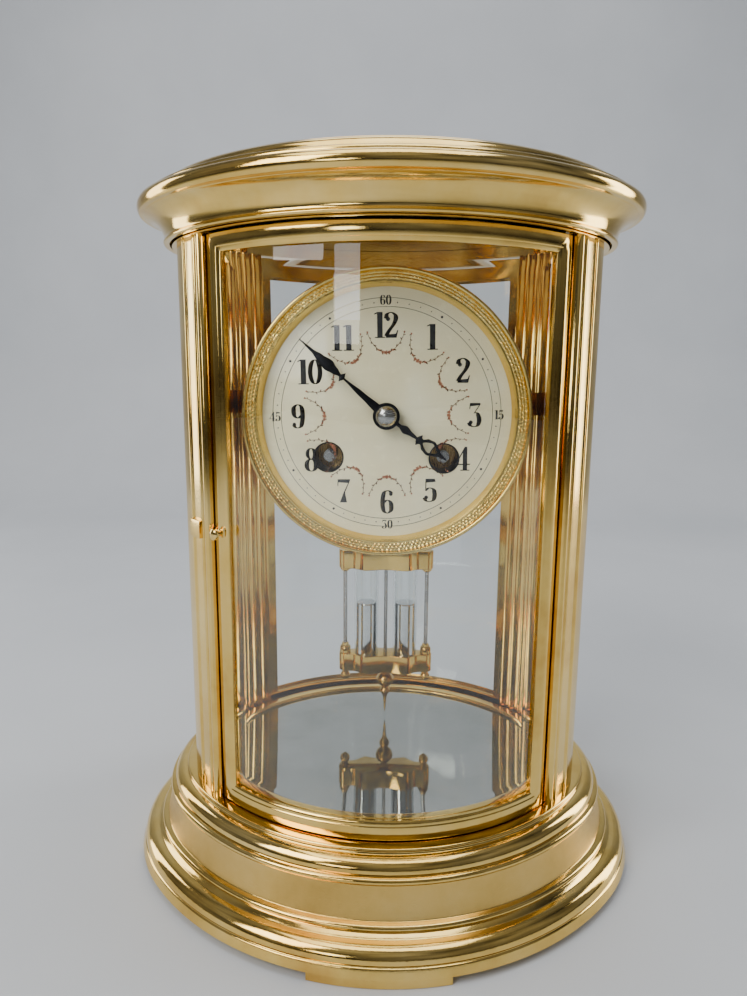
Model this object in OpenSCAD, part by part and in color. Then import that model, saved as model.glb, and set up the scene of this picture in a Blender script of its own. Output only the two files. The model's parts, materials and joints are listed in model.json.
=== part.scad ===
// Oval four-glass mantel clock: brass case, bowed glazed doors, eight-day striking movement
// and a two-jar mercury pendulum. Millimetres, +Z up, front towards -Y, feet on Z = 0.
// The case plan is a four-centred oval. Every level of it is an offset of the same oval, so a
// level is named by its half width "u"; its half depth is u - oval_flat.

/* [Case] */
// Half width of the plinth at its foot
plinth_u = 100; // [98:1:104]
// How much less the half depth is than the half width
oval_flat = 16; // [12:1:20]
// Distance of the end arcs' centres from the middle
end_centre = 30; // [26:1:34]
// Height of the foot pads
foot_h = 3; // [2:0.5:4]
// Level of the deck that the posts and doors stand on
deck_z = 35; // [34:0.5:36]
// Level of the top of the posts
post_top_z = 234; // [230:1:240]
// Half width of the oval through the posts' outer faces
post_u = 78.6; // [77:0.2:80]
// Half width of the oval through the doors' outer faces
door_u = 77.5; // [76:0.1:78]
// Half width of the cornice at its widest rim
cornice_u = 90.8; // [88:0.2:94]
// Overall height of the cornice above the posts
cornice_h = 22; // [20:0.5:24]

/* [Doors] */
// Half angle that a door spans on its arc
door_half = 42.5; // [41:0.5:44]
// Width of a door stile, in degrees of its arc
stile_angle = 4.1; // [3.5:0.1:5]
// Height of the top rail
top_rail_h = 5.8; // [5:0.2:8]
// Height of the bottom rail
bottom_rail_h = 7; // [6:0.2:9]
// Thickness of the bevelled glass
glass_t = 2.8; // [2:0.2:3]

/* [Dial] */
// Height of the dial's centre
dial_z = 176; // [174:0.5:178]
// Outside diameter of the bezel
bezel_d = 96; // [94:0.5:98]
// Visible diameter of the dial
dial_view_d = 83.6; // [82:0.2:85]
// Level of the bezel's front edge along Y
bezel_front_y = -38; // [-39:0.5:-36]
// Sideways distance of each winding hole from the centre
wind_x = 19.7; // [18:0.1:21]
// Drop of each winding hole below the centre
wind_drop = 14.4; // [13:0.1:16]
// Radius of a winding hole in the dial
wind_r = 5.2; // [4.5:0.1:5.5]

/* [Movement] */
// Radius of the round movement plates
plate_r = 44; // [43:0.5:44]
// Thickness of each plate
plate_t = 2.2; // [1.5:0.1:3]
// Front face of the front plate along Y
front_plate_y = -20; // [-21:0.5:-19]
// Back face of the back plate along Y
back_plate_y = 16; // [14:0.5:17]
// Height of the pallet arbor above the dial's centre
pallet_rise = 34.5; // [34:0.5:36]

/* [Pendulum] */
// Distance of the pendulum behind the middle plane
bob_y = 23; // [21:0.5:25]
// Height of the bob's top plate, at its middle
bob_top_z = 111; // [105:1:115]
// Height of the bob's bottom plate, at its middle
bob_low_z = 64; // [60:1:70]
// Sideways distance of each outer rod
bob_rod_x = 17.9; // [16:0.1:19]
// Sideways distance of each mercury jar
jar_x = 8.5; // [8:0.1:9]

/* [Hidden] */

fine = 96;
mid = 48;
small = 24;

// Four-centred oval: end arcs about (+-end_centre, 0), long arcs about (0, +-long_centre)
oval_lead = end_centre - oval_flat;
long_centre = (end_centre * end_centre - oval_lead * oval_lead) / (2 * oval_lead);
long_half = atan(end_centre / long_centre);
end_half = 90 - long_half;
long_add = long_centre - oval_flat;

// A point on the front arc, t degrees right of -Y, and one on the right end arc, t from +X
function front_pt(t, u) = [(u + long_add) * sin(t), long_centre - (u + long_add) * cos(t)];
function end_pt(t, u) = [end_centre + (u - end_centre) * cos(t), (u - end_centre) * sin(t)];

// Points along a circular arc of a moulding, from angle a to angle b
function arc(cx, cz, r, a, b, n = 8) =
    [for (i = [0:n]) [cx + r * cos(a + (b - a) * i / n), cz + r * sin(a + (b - a) * i / n)]];

// Sweeps a profile, drawn with x = u and y = height, round the oval
module oval_sweep() {
    for (turn = [0, 180]) rotate([0, 0, turn]) {
        translate([0, long_centre, 0])
            rotate_extrude(angle = 2 * long_half, start = 270 - long_half, $fn = fine)
                translate([long_add, 0]) children();
        translate([end_centre, 0, 0])
            rotate_extrude(angle = 2 * end_half, start = -end_half, $fn = fine)
                translate([-end_centre, 0]) children();
    }
}

// A flat oval plate: an oval ring of half width u, and a thinner core that fills its middle
core_u = 45;
module oval_plate(u, low, high) {
    core_r = core_u + long_add;
    skin = 0.2;
    oval_ring(u, core_u - 5, low, high);
    translate([0, 0, low + skin]) linear_extrude(high - low - 2 * skin) intersection() {
        translate([0, long_centre]) circle(core_r, $fn = fine);
        translate([0, -long_centre]) circle(core_r, $fn = fine);
    }
}
// A flat oval ring from half width inner to outer, between two levels
module oval_ring(outer, inner, low, high) {
    oval_sweep() polygon([[inner, low], [outer, low], [outer, high], [inner, high]]);
}

// Part of the front long arc between two offsets and two angles
module front_band(outer, inner, from, to) {
    intersection() {
        translate([0, long_centre]) difference() {
            circle(outer + long_add, $fn = fine);
            circle(inner + long_add, $fn = fine);
        }
        polygon([[0, long_centre], front_pt(from, 130), front_pt((from + to) / 2, 150),
            front_pt(to, 130)]);
    }
}

// Part of the right end arc between two offsets and two angles
module end_band(outer, inner, from, to) {
    intersection() {
        translate([end_centre, 0]) difference() {
            circle(outer - end_centre, $fn = fine);
            circle(inner - end_centre, $fn = fine);
        }
        polygon([[end_centre, 0], end_pt(from, 120), end_pt((from + to) / 2, 140),
            end_pt(to, 120)]);
    }
}

// ---- base ----
plinth_in = 66;
plinth_wall = 3;
skirt_top = 6.4;
plinth_profile = concat(
    [[95, foot_h + 3], [95, foot_h], [plinth_u, foot_h],
        [plinth_u - 1.3, skirt_top], [plinth_u - 2, skirt_top + 0.4]],
    arc(94, 7, 4.6, 0, 82, 8),
    [[93, 11.6], [92.4, 12.4]],
    arc(90.6, 13.8, 1.2, -50, 80, 6),
    [[89.4, 15.4], [87.2, 26.2]],
    arc(86.8, 27.5, 1.2, -60, 75, 6),
    [[86.3, 28.9]],
    arc(82.2, 29.2, 4, 0, 85, 8),
    [[81.4, 33.2], [81.4, 34.2]],
    arc(80.6, 34.2, 0.8, 0, 90, 3),
    [[plinth_in, deck_z], [plinth_in, deck_z - plinth_wall], [78, deck_z - plinth_wall],
        [83.4, 25], [86, 15], [91, 8.6], [plinth_in + 28, foot_h + 3]]);

module base_plinth() {
    color("goldenrod") oval_sweep() polygon(plinth_profile);
}

module base_bottom_plate() {
    color("saddlebrown") oval_plate(94.6, foot_h + 0.6, foot_h + 3);
}

foot_half = 12.4;
foot_deep = 10;
foot_gap = 0.02;
module foot_pads() {
    color("darkgoldenrod") for (turn = [0, 180]) rotate([0, 0, turn])
        linear_extrude(foot_h - foot_gap) {
            front_band(plinth_u - 0.4, plinth_u - foot_deep, -foot_half, foot_half);
            end_band(plinth_u - 0.4, plinth_u - foot_deep, -foot_half - 6, foot_half + 6);
        }
}

floor_u = 65;
post_in = 70;
ledge_u = 58;
mirror_t = 2.4;
// Brass ring that stands inside the doors, with a ledge that the mirror lies on
module floor_ring() {
    color("goldenrod") {
        oval_ring(post_in - 0.1, floor_u, deck_z, deck_z + 4);
        oval_ring(plinth_in - 0.1, ledge_u, deck_z - 2.5, deck_z);
    }
}
module mirror_floor() {
    color("silver") oval_plate(floor_u - 0.1, deck_z, deck_z + mirror_t);
}

// ---- posts ----
post_from = door_half + 0.4;
post_to = -30;
lip_u = post_u - 1.2;
screw_t = 46;
screw_u = 74;
screw_r = 1.6;
module post_front_part() {
    difference() {
        union() {
            front_band(post_u, post_in, post_from, long_half);
            translate(front_pt(post_from + 1.5, post_u)) circle(1.3, $fn = small);
        }
        translate(front_pt(post_from + 3.2, post_u + 0.2)) circle(0.9, $fn = small);
    }
}
module post_end_part() {
    difference() {
        end_band(post_u, post_in, -end_half, post_to);
        translate(end_pt(-end_half + 1.6, post_u + 0.1)) circle(0.6, $fn = small);
    }
}
module post_solid() {
    post_h = post_top_z - deck_z;
    color("gold") translate([0, 0, deck_z]) difference() {
        union() {
            linear_extrude(post_h) post_front_part();
            linear_extrude(post_h) post_end_part();
            linear_extrude(post_h) end_band(post_u, lip_u, post_to, post_to + 2.5);
        }
        translate([0, 0, post_h - 10]) translate(front_pt(screw_t, screw_u))
            cylinder(r = screw_r, h = 12, $fn = small);
    }
}
module post_front_right() {
    post_solid();
}
module post_front_left() {
    mirror([1, 0, 0]) post_solid();
}
module post_back_right() {
    mirror([0, 1, 0]) post_solid();
}
module post_back_left() {
    mirror([1, 0, 0]) mirror([0, 1, 0]) post_solid();
}

module side_glass() {
    glass_out = lip_u - 0.1;
    color("lightblue", 0.4) translate([0, 0, deck_z + 0.1])
        linear_extrude(post_top_z - deck_z - 0.2) intersection() {
            translate([end_centre, 0]) difference() {
                circle(glass_out - end_centre, $fn = fine);
                circle(glass_out - glass_t - end_centre, $fn = fine);
            }
            polygon([[end_centre, 0], end_pt(post_to + 0.1, 110), end_pt(-post_to - 0.1, 110)]);
        }
}
module side_glass_right() {
    side_glass();
}
module side_glass_left() {
    mirror([1, 0, 0]) side_glass();
}

// ---- top ----
module top_ring() {
    color("goldenrod") difference() {
        oval_ring(79.5, 66, post_top_z, post_top_z + 4);
        at_post_screws(post_top_z - 1) cylinder(r = screw_r, h = 8, $fn = small);
        at_post_screws(post_top_z + 2.4) cylinder(r = 3.1, h = 4, $fn = small);
    }
}
cornice_base = post_top_z + 0.6;
cornice_in = 74;
cap_z = post_top_z + 18;
cornice_profile = concat(
    [[cornice_in, cornice_base + 3.8], [80.2, cornice_base + 3.8], [80.2, cornice_base],
        [82, cornice_base], [82.4, cornice_base + 0.6], [82, cornice_base + 1.4]],
    arc(90.4, 235.4, 8.6, 172, 108, 8),
    [[88.2, 243.7], [88.4, 243.9]],
    arc(cornice_u - 3.2, 246.2, 3.2, -40, 60, 8),
    [[88.4, 249.2], [87.2, 249.6], [86.9, 250.4], [86.2, 251.1], [85.3, 251.4],
        [83.6, 251.6], [82.8, 252.2]],
    arc(77.8, 250.8, 4.4, 20, 80, 6),
    [[77.6, 255.2], [77, post_top_z + cornice_h], [cornice_in, post_top_z + cornice_h]]);
module cornice() {
    color("gold") oval_sweep() polygon(cornice_profile);
}
module top_cap() {
    color("gold") {
        oval_plate(cornice_in - 3, cap_z, post_top_z + cornice_h + 1.2);
        oval_sweep() polygon([[cornice_in - 4, cap_z + 1], [cornice_in - 3.4, post_top_z + 4.05],
            [cornice_in - 0.2, post_top_z + 4.05], [cornice_in - 0.2, post_top_z + cornice_h],
            [cornice_in - 4, post_top_z + cornice_h]]);
    }
}

module at_post_screws(z) {
    for (sx = [0, 1], sy = [0, 1]) mirror([sx, 0, 0]) mirror([0, sy, 0])
        translate([0, 0, z]) translate(front_pt(screw_t, screw_u)) children();
}
// Countersunk screws that hold the top ring down on the four posts
module post_screws() {
    color("silver") {
        at_post_screws(post_top_z - 9.5) cylinder(r = screw_r - 0.05, h = 12, $fn = small);
        at_post_screws(post_top_z + 2.45) cylinder(r = 3, h = 1.5, $fn = small);
    }
}

// ---- doors ----
door_low = deck_z + 0.4;
door_high = post_top_z - 0.4;
rebate_u = door_u - 1.3;
door_in = door_u - 5;
open_low = deck_z + bottom_rail_h;
open_high = door_high - top_rail_h;
stile_in = door_half - stile_angle;
hinge_t = door_half - 1.06;
hinge_u = door_u - 1.3;
pin_r = 0.8;
module door_frame() {
    difference() {
        translate([0, 0, door_low]) linear_extrude(door_high - door_low)
            front_band(door_u, door_in, -door_half, door_half);
        translate([0, 0, open_low]) linear_extrude(open_high - open_low)
            front_band(door_u + 2, door_in - 2, -stile_in, stile_in);
        translate([0, 0, open_low - 1.6]) linear_extrude(open_high - open_low + 3.2)
            front_band(rebate_u, door_in - 2, -stile_in - 1.2, stile_in + 1.2);
        hinge_holes();
    }
}
module hinge_holes() {
    for (z = [door_low - 1, door_high - 5]) translate([0, 0, z])
        translate(front_pt(hinge_t, hinge_u)) cylinder(r = pin_r + 0.06, h = 6, $fn = small);
}
module door_glass() {
    color("lightblue", 0.35) translate([0, 0, open_low - 1.5])
        linear_extrude(open_high - open_low + 3)
            front_band(rebate_u - 0.05, rebate_u - 0.05 - glass_t, -stile_in - 1.1,
                stile_in + 1.1);
}
module hinge_pins() {
    pin_in = 4.2;
    color("silver") translate(front_pt(hinge_t, hinge_u)) {
        translate([0, 0, deck_z]) cylinder(r = pin_r, h = door_low - deck_z + pin_in, $fn = small);
        translate([0, 0, door_high - pin_in])
            cylinder(r = pin_r, h = post_top_z - door_high + pin_in, $fn = small);
    }
}
knob_z = 135.7;
knob_t = -door_half + 1.8;
module knob() {
    p = front_pt(knob_t, door_u);
    color("gold") translate([p[0], p[1], knob_z]) rotate([90, 0, knob_t]) {
        cylinder(r = 0.9, h = 2.4, $fn = small);
        translate([0, 0, 1.2]) rotate_extrude($fn = mid)
            polygon(concat([[0, 0]], arc(0.4, 1.3, 1.35, -60, 75, 8), [[0, 2.6]]));
    }
}
module front_door_frame() {
    color("gold") door_frame();
}
module front_door_glass() {
    door_glass();
}
module front_door_knob() {
    knob();
}
module front_hinge_pins() {
    hinge_pins();
}
module back_door_frame() {
    color("gold") mirror([0, 1, 0]) door_frame();
}
module back_door_glass() {
    mirror([0, 1, 0]) door_glass();
}
module back_door_knob() {
    mirror([0, 1, 0]) knob();
}
module back_hinge_pins() {
    mirror([0, 1, 0]) hinge_pins();
}
// Spring catch plates on the posts beside each knob
module door_catches() {
    color("gold") for (sy = [0, 1]) mirror([0, sy, 0]) mirror([1, 0, 0])
        translate([0, 0, knob_z - 3.4]) linear_extrude(6.8)
            front_band(post_u + 0.9, post_u + 0.05, post_from + 4.4, long_half - 0.6);
}

// ---- dial ----
bezel_r = bezel_d / 2;
view_r = dial_view_d / 2;
dial_face_y = bezel_front_y + 4.4;
// Lays a shape drawn with +Z as "towards the viewer" onto the dial axis at level y
module at_dial(y) {
    translate([0, y, dial_z]) rotate([90, 0, 0]) children();
}
module bezel() {
    color("gold") at_dial(bezel_front_y) rotate_extrude($fn = fine) polygon(concat(
        [[view_r, -4.3], [view_r + 1.2, -1.6], [view_r + 1.6, -0.9]],
        [[bezel_r - 1.3, -0.9]],
        arc(bezel_r - 0.7, -0.7, 0.7, 90, 0, 4),
        [[bezel_r, -5.4], [bezel_r - 1, -6], [view_r + 2.1, -6], [view_r + 2.1, -4.3]]));
}
module dial() {
    color("ivory") at_dial(dial_face_y) difference() {
        translate([0, 0, -1.5]) cylinder(r = view_r + 1.9, h = 1.5, $fn = fine);
        translate([0, 0, -2]) cylinder(r = 3, h = 3, $fn = mid);
        for (s = [-1, 1]) translate([s * wind_x, -wind_drop, -2])
            cylinder(r = wind_r, h = 3, $fn = mid);
    }
}
band_r = bezel_r - 1.6;
band_back_y = front_plate_y - 2.05;
band_len = 9.9;
module dial_band() {
    color("goldenrod") {
        at_dial(band_back_y) rotate_extrude($fn = fine) polygon([[36, 0], [band_r, 0],
            [band_r, band_len], [band_r - 1.8, band_len], [band_r - 1.8, 1.9], [36, 1.9]]);
        for (a = [25, 155, 245]) at_dial(front_plate_y - 0.05)
            rotate([0, 0, a]) translate([37.8, 0, 0]) cylinder(r = 1.4, h = 3, $fn = small);
    }
}
// Straps that carry the movement from the two front posts
strap_t = -36.9;
strap_low = dial_z;
strap_h = 8;
module strap_pad(out, t, w, h) {
    translate(end_pt(strap_t, post_in - out)) rotate(strap_t)
        translate([-t, -w / 2, 0]) cube([t, w, h]);
}
module mount_straps() {
    color("gold") for (s = [0, 1]) mirror([s, 0, 0]) translate([0, 0, strap_low]) {
        strap_pad(0.3, 1.8, 7, strap_h);
        translate([46.6, front_plate_y - 3.95, 0]) cube([13.6, 1.9, strap_h]);
        translate([46.6, front_plate_y - 2.05, 0]) cube([1.9, 8, strap_h]);
    }
}
module strap_screws() {
    color("silver") for (s = [0, 1]) mirror([s, 0, 0])
        translate([0, 0, strap_low + strap_h / 2]) translate(end_pt(strap_t, post_in - 2.15)) rotate([0, -90, strap_t])
            translate([0, 2, 0]) cylinder(r = 1.3, h = 0.9, $fn = small);
}

// ---- movement plates ----
module disc(y, r, t) {
    at_dial(y + t) cylinder(r = r, h = t, $fn = fine);
}
module hole(x, z, r) {
    translate([x, -60, dial_z + z]) rotate([-90, 0, 0]) cylinder(r = r, h = 120, $fn = small);
}
// Where two circles about p and q meet, on the left of the way from p to q when side is 1
function meet(p, rp, q, rq, side) =
    let (v = q - p, d = norm(v), a = (rp * rp - rq * rq + d * d) / (2 * d),
        h = sqrt(rp * rp - a * a))
    p + v * a / d + side * h * [-v[1], v[0]] / d;

// Modules and tooth counts of the trains
barrel_m = 0.4625;
barrel_n = 80;
mid_m = 0.4;
second_n = 66;
pinion_n = 10;
centre_n = 64;
leaf_n = 8;
late_m = 0.36;
third_n = 60;
locking_m = 0.32;
locking_n = 56;
motion_m = 0.5;
cannon_n = 12;
minute_n = 36;
hour_m = 0.48;
hour_n = 40;
barrel_to_pinion = barrel_m * (barrel_n + pinion_n) / 2;
second_to_centre = mid_m * (second_n + pinion_n) / 2;
centre_to_third = mid_m * (centre_n + leaf_n) / 2;
third_to_escape = late_m * (third_n + leaf_n) / 2;
pin_to_locking = late_m * (third_n + leaf_n) / 2;
locking_to_fly = locking_m * (locking_n + leaf_n) / 2;
minute_drop = motion_m * (cannon_n + minute_n) / 2;

centre_at = [0, 0];
going_at = [wind_x, -wind_drop];
strike_at = [-wind_x, -wind_drop];
escape_at = [0, 22.5];
pallet_at = [0, pallet_rise];
second_at = meet(going_at, barrel_to_pinion, centre_at, second_to_centre, -1);
third_at = meet(centre_at, centre_to_third, escape_at, third_to_escape, 1);
pin_at = strike_at + barrel_to_pinion * [cos(103.3), sin(103.3)];
locking_at = pin_at + pin_to_locking * [cos(77.3), sin(77.3)];
fly_at = locking_at + locking_to_fly * [cos(43), sin(43)];
minute_at = [0, -minute_drop];
hammer_at = [-38, -3];

plate_in_y = front_plate_y + plate_t;
plate_gap = back_plate_y - plate_t - plate_in_y;
pivot_r = 0.6;
arbor_r = 0.75;
module pivot_holes() {
    for (p = [second_at, third_at, escape_at, pin_at, locking_at, fly_at, pallet_at])
        hole(p[0], p[1], pivot_r + 0.05);
    for (p = [going_at, strike_at]) hole(p[0], p[1], 2.25);
    hole(0, 0, 1.55);
    hole(hammer_at[0], hammer_at[1], 1.05);
}
pillar_angles = [0, 50, 135, 270];
pillar_at = 40.5;
module plate_shape(y) {
    difference() {
        disc(y, plate_r, plate_t);
        pivot_holes();
        for (a = pillar_angles) hole(pillar_at * cos(a), pillar_at * sin(a), 1.5);
    }
}
module front_plate() {
    color("goldenrod") plate_shape(front_plate_y);
}
module back_plate() {
    color("goldenrod") plate_shape(back_plate_y - plate_t);
}
module plate_pillars() {
    color("gold") for (a = pillar_angles)
        translate([pillar_at * cos(a), plate_in_y, dial_z + pillar_at * sin(a)]) rotate([-90, 0, 0]) {
            cylinder(r = 2.3, h = plate_gap, $fn = small);
            translate([0, 0, -plate_t - 0.2])
                cylinder(r = 1.5, h = plate_gap + 2 * plate_t + 0.4, $fn = small);
        }
}
module plate_nuts() {
    color("silver") for (a = pillar_angles) {
        translate([pillar_at * cos(a), back_plate_y + 0.2, dial_z + pillar_at * sin(a)])
            rotate([-90, 0, 0]) cylinder(r = 2.4, h = 1.4, $fn = small);
    }
}

// ---- wheels ----
// A toothed outline with tooth 0 centred on +X; part is the tooth's share of the pitch
module teeth(n, m, add, ded, part) {
    pitch = 360 / n;
    r = n * m / 2;
    // Half of one tooth from root to tip: radius, and half thickness as a share of the tooth
    flank = [[r - ded, 0.62], [r + add * 0.2, 0.46], [r + add, 0.2]];
    polygon([for (i = [0:n - 1], step = [-3, -2, -1, 1, 2, 3])
        let (f = flank[3 - abs(step)], turn = pitch * (i + sign(step) * part * f[1]))
        f[0] * [cos(turn), sin(turn)]]);
}
// A crossed-out wheel with its back face at level y on arbor p; tooth 0 points along aim
module wheel(p, y, n, m, t, aim, spokes = 4) {
    r = n * m / 2;
    translate([p[0], y, dial_z + p[1]]) rotate([90, 0, 0]) rotate([0, 0, aim])
        linear_extrude(t) {
            difference() {
                teeth(n, m, m * 0.75, m * 1.15, 0.42);
                circle(r - m * 1.15 - 1.1, $fn = mid);
            }
            circle(2.4, $fn = small);
            for (a = [0:360 / spokes:359]) rotate(a)
                translate([0, -0.55]) square([r - m * 1.15 - 0.6, 1.1]);
        }
}
module pinion(p, y, n, m, t, aim) {
    translate([p[0], y, dial_z + p[1]]) rotate([90, 0, 0]) rotate([0, 0, aim])
        linear_extrude(t) teeth(n, m, m * 0.7, m * 1.15, 0.42);
}
module arbor(p, from, to, r) {
    translate([p[0], from, dial_z + p[1]]) rotate([-90, 0, 0])
        cylinder(r = r, h = to - from, $fn = small);
}
// Steel arbor between the plates, with a pivot in each
module pivoted(p) {
    arbor(p, plate_in_y + 0.4, back_plate_y - plate_t - 0.4, arbor_r);
    arbor(p, front_plate_y + 0.2, back_plate_y - 0.2, pivot_r);
}
// Direction from p to q, and the turn that puts a gap of an n-leaf pinion there
function way(p, q) = atan2(q[1] - p[1], q[0] - p[0]);
function gap_way(p, q, n) = way(p, q) + 180 / n;

barrel_y = -13;
drum_len = 12;
plane_a = 2.8;
plane_b = 6;
plane_c = 9.2;
plane_d = 12.2;
module barrel(p, aim) {
    difference() {
        union() {
            translate([p[0], barrel_y, dial_z + p[1]]) rotate([90, 0, 0])
                rotate([0, 0, aim]) linear_extrude(1.6)
                    teeth(barrel_n, barrel_m, barrel_m * 0.7, barrel_m * 1.15, 0.42);
            arbor(p, barrel_y, barrel_y + drum_len, 17.2);
        }
        arbor(p, barrel_y - 0.4, barrel_y + drum_len - 1, 16);
        arbor(p, -40, 40, 2.25);
    }
}
module winder(p) {
    arbor(p, front_plate_y - 7.5, back_plate_y + 0.4, 2.2);
    translate([p[0], front_plate_y - 7.5, dial_z + p[1]]) rotate([0, 45, 0])
        translate([-1.5, -3.2, -1.5]) cube([3, 3.6, 3]);
    arbor(p, barrel_y + 1, barrel_y + drum_len - 2, 5);
}
module going_barrel() {
    color("goldenrod") barrel(going_at, way(going_at, second_at));
}
module going_arbor() {
    color("gray") winder(going_at);
}
module strike_barrel() {
    color("goldenrod") barrel(strike_at, way(strike_at, pin_at));
}
module strike_arbor() {
    color("gray") winder(strike_at);
}
module second_wheel() {
    color("goldenrod") {
        wheel(second_at, plane_b, second_n, mid_m, 1.2, way(second_at, centre_at));
        pivoted(second_at);
        pinion(second_at, barrel_y + 0.6, pinion_n, barrel_m, 3, gap_way(second_at, going_at, pinion_n));
    }
}
module centre_wheel() {
    color("goldenrod") {
        wheel(centre_at, plane_c, centre_n, mid_m, 1.2, way(centre_at, third_at));
        arbor(centre_at, front_plate_y - 18.4, back_plate_y - 0.2, 1.5);
        pinion(centre_at, plane_b + 0.6, pinion_n, mid_m, 2.6, gap_way(centre_at, second_at, pinion_n));
    }
}
module third_wheel() {
    color("goldenrod") {
        wheel(third_at, plane_a, third_n, late_m, 1, way(third_at, escape_at));
        pivoted(third_at);
        pinion(third_at, plane_c + 0.6, leaf_n, mid_m, 2.6, gap_way(third_at, centre_at, leaf_n));
    }
}
escape_r = 8.6;
escape_n = 30;
module escape_wheel() {
    color("goldenrod") {
        translate([escape_at[0], plane_d, dial_z + escape_at[1]]) rotate([90, 0, 0])
            linear_extrude(1) {
                difference() {
                    polygon([for (i = [0:escape_n - 1]) each [
                        escape_r * [cos(12 * i), sin(12 * i)],
                        (escape_r - 1.5) * [cos(12 * i + 2), sin(12 * i + 2)],
                        (escape_r - 1.5) * [cos(12 * i + 10), sin(12 * i + 10)]]]);
                    circle(escape_r - 2.6, $fn = mid);
                }
                circle(1.8, $fn = small);
                for (a = [0:72:359]) rotate(a) translate([0, -0.4]) square([escape_r - 2, 0.8]);
            }
        pivoted(escape_at);
        pinion(escape_at, plane_a + 0.6, leaf_n, late_m, 2.4, gap_way(escape_at, third_at, leaf_n));
    }
}
// Anchor over the escape wheel, its arbor, and the crutch behind the back plate
anchor_drop = pallet_at[1] - escape_at[1];
// Clearance that keeps the pallets off the wheel over the whole rock
anchor_gap = 1.35;
module anchor() {
    color("silver") {
        translate([0, plane_d, dial_z + pallet_at[1]]) rotate([90, 0, 0]) linear_extrude(1.4)
            difference() {
                intersection() {
                    circle(anchor_drop - 1.2, $fn = mid);
                    polygon([[0, 2.4], [-10, -6.6], [-8.4, -9.6], [8.4, -9.6], [10, -6.6]]);
                }
                translate([0, -anchor_drop]) circle(escape_r + anchor_gap, $fn = mid);
            }
        arbor(pallet_at, plate_in_y + 0.4, back_plate_y - plate_t - 0.4, arbor_r);
        arbor(pallet_at, front_plate_y + 0.2, bob_y - 4.2, pivot_r);
        translate([-0.9, bob_y - 5.2, dial_z + pallet_at[1] - 20]) cube([1.8, 1, 20.6]);
        translate([0, bob_y - 4.2, dial_z + pallet_at[1] - 18]) {
            translate([-1.6, -0.01, 0]) cube([0.7, 5.6, 1.4]);
            translate([0.9, -0.01, 0]) cube([0.7, 5.6, 1.4]);
            translate([-1.6, -1, 0]) cube([3.2, 1.05, 1.4]);
        }
    }
}
module pin_wheel() {
    color("goldenrod") {
        wheel(pin_at, plane_b, third_n, late_m, 1, way(pin_at, locking_at));
        pivoted(pin_at);
        pinion(pin_at, barrel_y + 0.6, pinion_n, barrel_m, 3, gap_way(pin_at, strike_at, pinion_n));
        for (a = [0:36:359])
            arbor(pin_at + 9.8 * [cos(a), sin(a)], plane_b - 0.2, plane_b + 1.6, 0.4);
    }
}
module locking_wheel() {
    color("goldenrod") {
        wheel(locking_at, plane_c, locking_n, locking_m, 1, way(locking_at, fly_at));
        pivoted(locking_at);
        pinion(locking_at, plane_b + 0.6, leaf_n, late_m, 2.4, gap_way(locking_at, pin_at, leaf_n));
    }
}
module fly() {
    color("goldenrod") {
        pivoted(fly_at);
        pinion(fly_at, plane_c + 0.6, leaf_n, locking_m, 2.4, gap_way(fly_at, locking_at, leaf_n));
        translate([fly_at[0] - 4.6, -12, dial_z + fly_at[1] - 0.3]) cube([9.2, 11, 0.6]);
        arbor(fly_at, -12, -1, 1.2);
    }
}
bell_y = 31;
bell_r = 30;
hammer_tilt = 25;
hammer_len = 15;
module hammer() {
    color("gray") {
        arbor(hammer_at, front_plate_y + 0.4, bell_y + 1.4, 1);
        translate([hammer_at[0], bell_y, dial_z + hammer_at[1]]) rotate([90, hammer_tilt, 0])
            translate([-1, 0, 0]) cube([2, hammer_len, 1.4]);
        arbor(hammer_at + hammer_len * [sin(hammer_tilt), cos(hammer_tilt)],
            bell_y - 1.2, bell_y + 3.8, 2.4);
    }
}
module bell() {
    color("silver") translate([0, bell_y, dial_z]) rotate([-90, 0, 0]) rotate_extrude($fn = fine)
        polygon(concat([[2.2, 9.6]], arc(20, 0.5, 8.4, 85, 8, 7), [[28.6, 0.2], [27, 0.2]],
            arc(20, 0.5, 6.8, 6, 85, 7), [[2.2, 8]]));
}
stand_y = back_plate_y + 0.05;
stand_back = bell_y + 9.9;
// Bracket that leads from the back plate's foot round the pendulum to the bell's middle
module bell_stand() {
    color("goldenrod") {
        translate([6, stand_y, dial_z - 36]) cube([4, stand_back + 2 - stand_y, 3]);
        translate([6, stand_y, dial_z - 36]) cube([4, 2, 8]);
        translate([-2.5, stand_back, dial_z - 36]) cube([12.5, 2, 3]);
        translate([-2.5, stand_back, dial_z - 36]) cube([5, 2, 39]);
        translate([0, bell_y + 7, dial_z]) rotate([-90, 0, 0]) cylinder(r = 2.1, h = 4, $fn = small);
    }
}

// ---- motion work and hands ----
motion_y = front_plate_y - 1.2;
hour_y = motion_y - 2.2;
hand_y = dial_face_y - 1.6;
module cannon_pinion() {
    color("goldenrod") difference() {
        union() {
            pinion(centre_at, motion_y, cannon_n, motion_m, 1.6,
                gap_way(centre_at, minute_at, cannon_n));
            arbor(centre_at, hand_y - 3.6, motion_y, 2);
        }
        hole(0, 0, 1.5);
    }
}
module minute_wheel() {
    color("goldenrod") {
        difference() {
            union() {
                wheel(minute_at, motion_y, minute_n, motion_m, 1, way(minute_at, centre_at));
                pinion(minute_at, motion_y - 0.9, pinion_n, hour_m, 2.6,
                    gap_way(minute_at, centre_at, pinion_n));
            }
            hole(minute_at[0], minute_at[1], 0.95);
        }
    }
}
module hour_wheel() {
    color("goldenrod") difference() {
        union() {
            wheel(centre_at, hour_y, hour_n, hour_m, 1, way(centre_at, minute_at));
            arbor(centre_at, hand_y - 0.9, hour_y, 2.7);
        }
        hole(0, 0, 2.06);
    }
}
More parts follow.
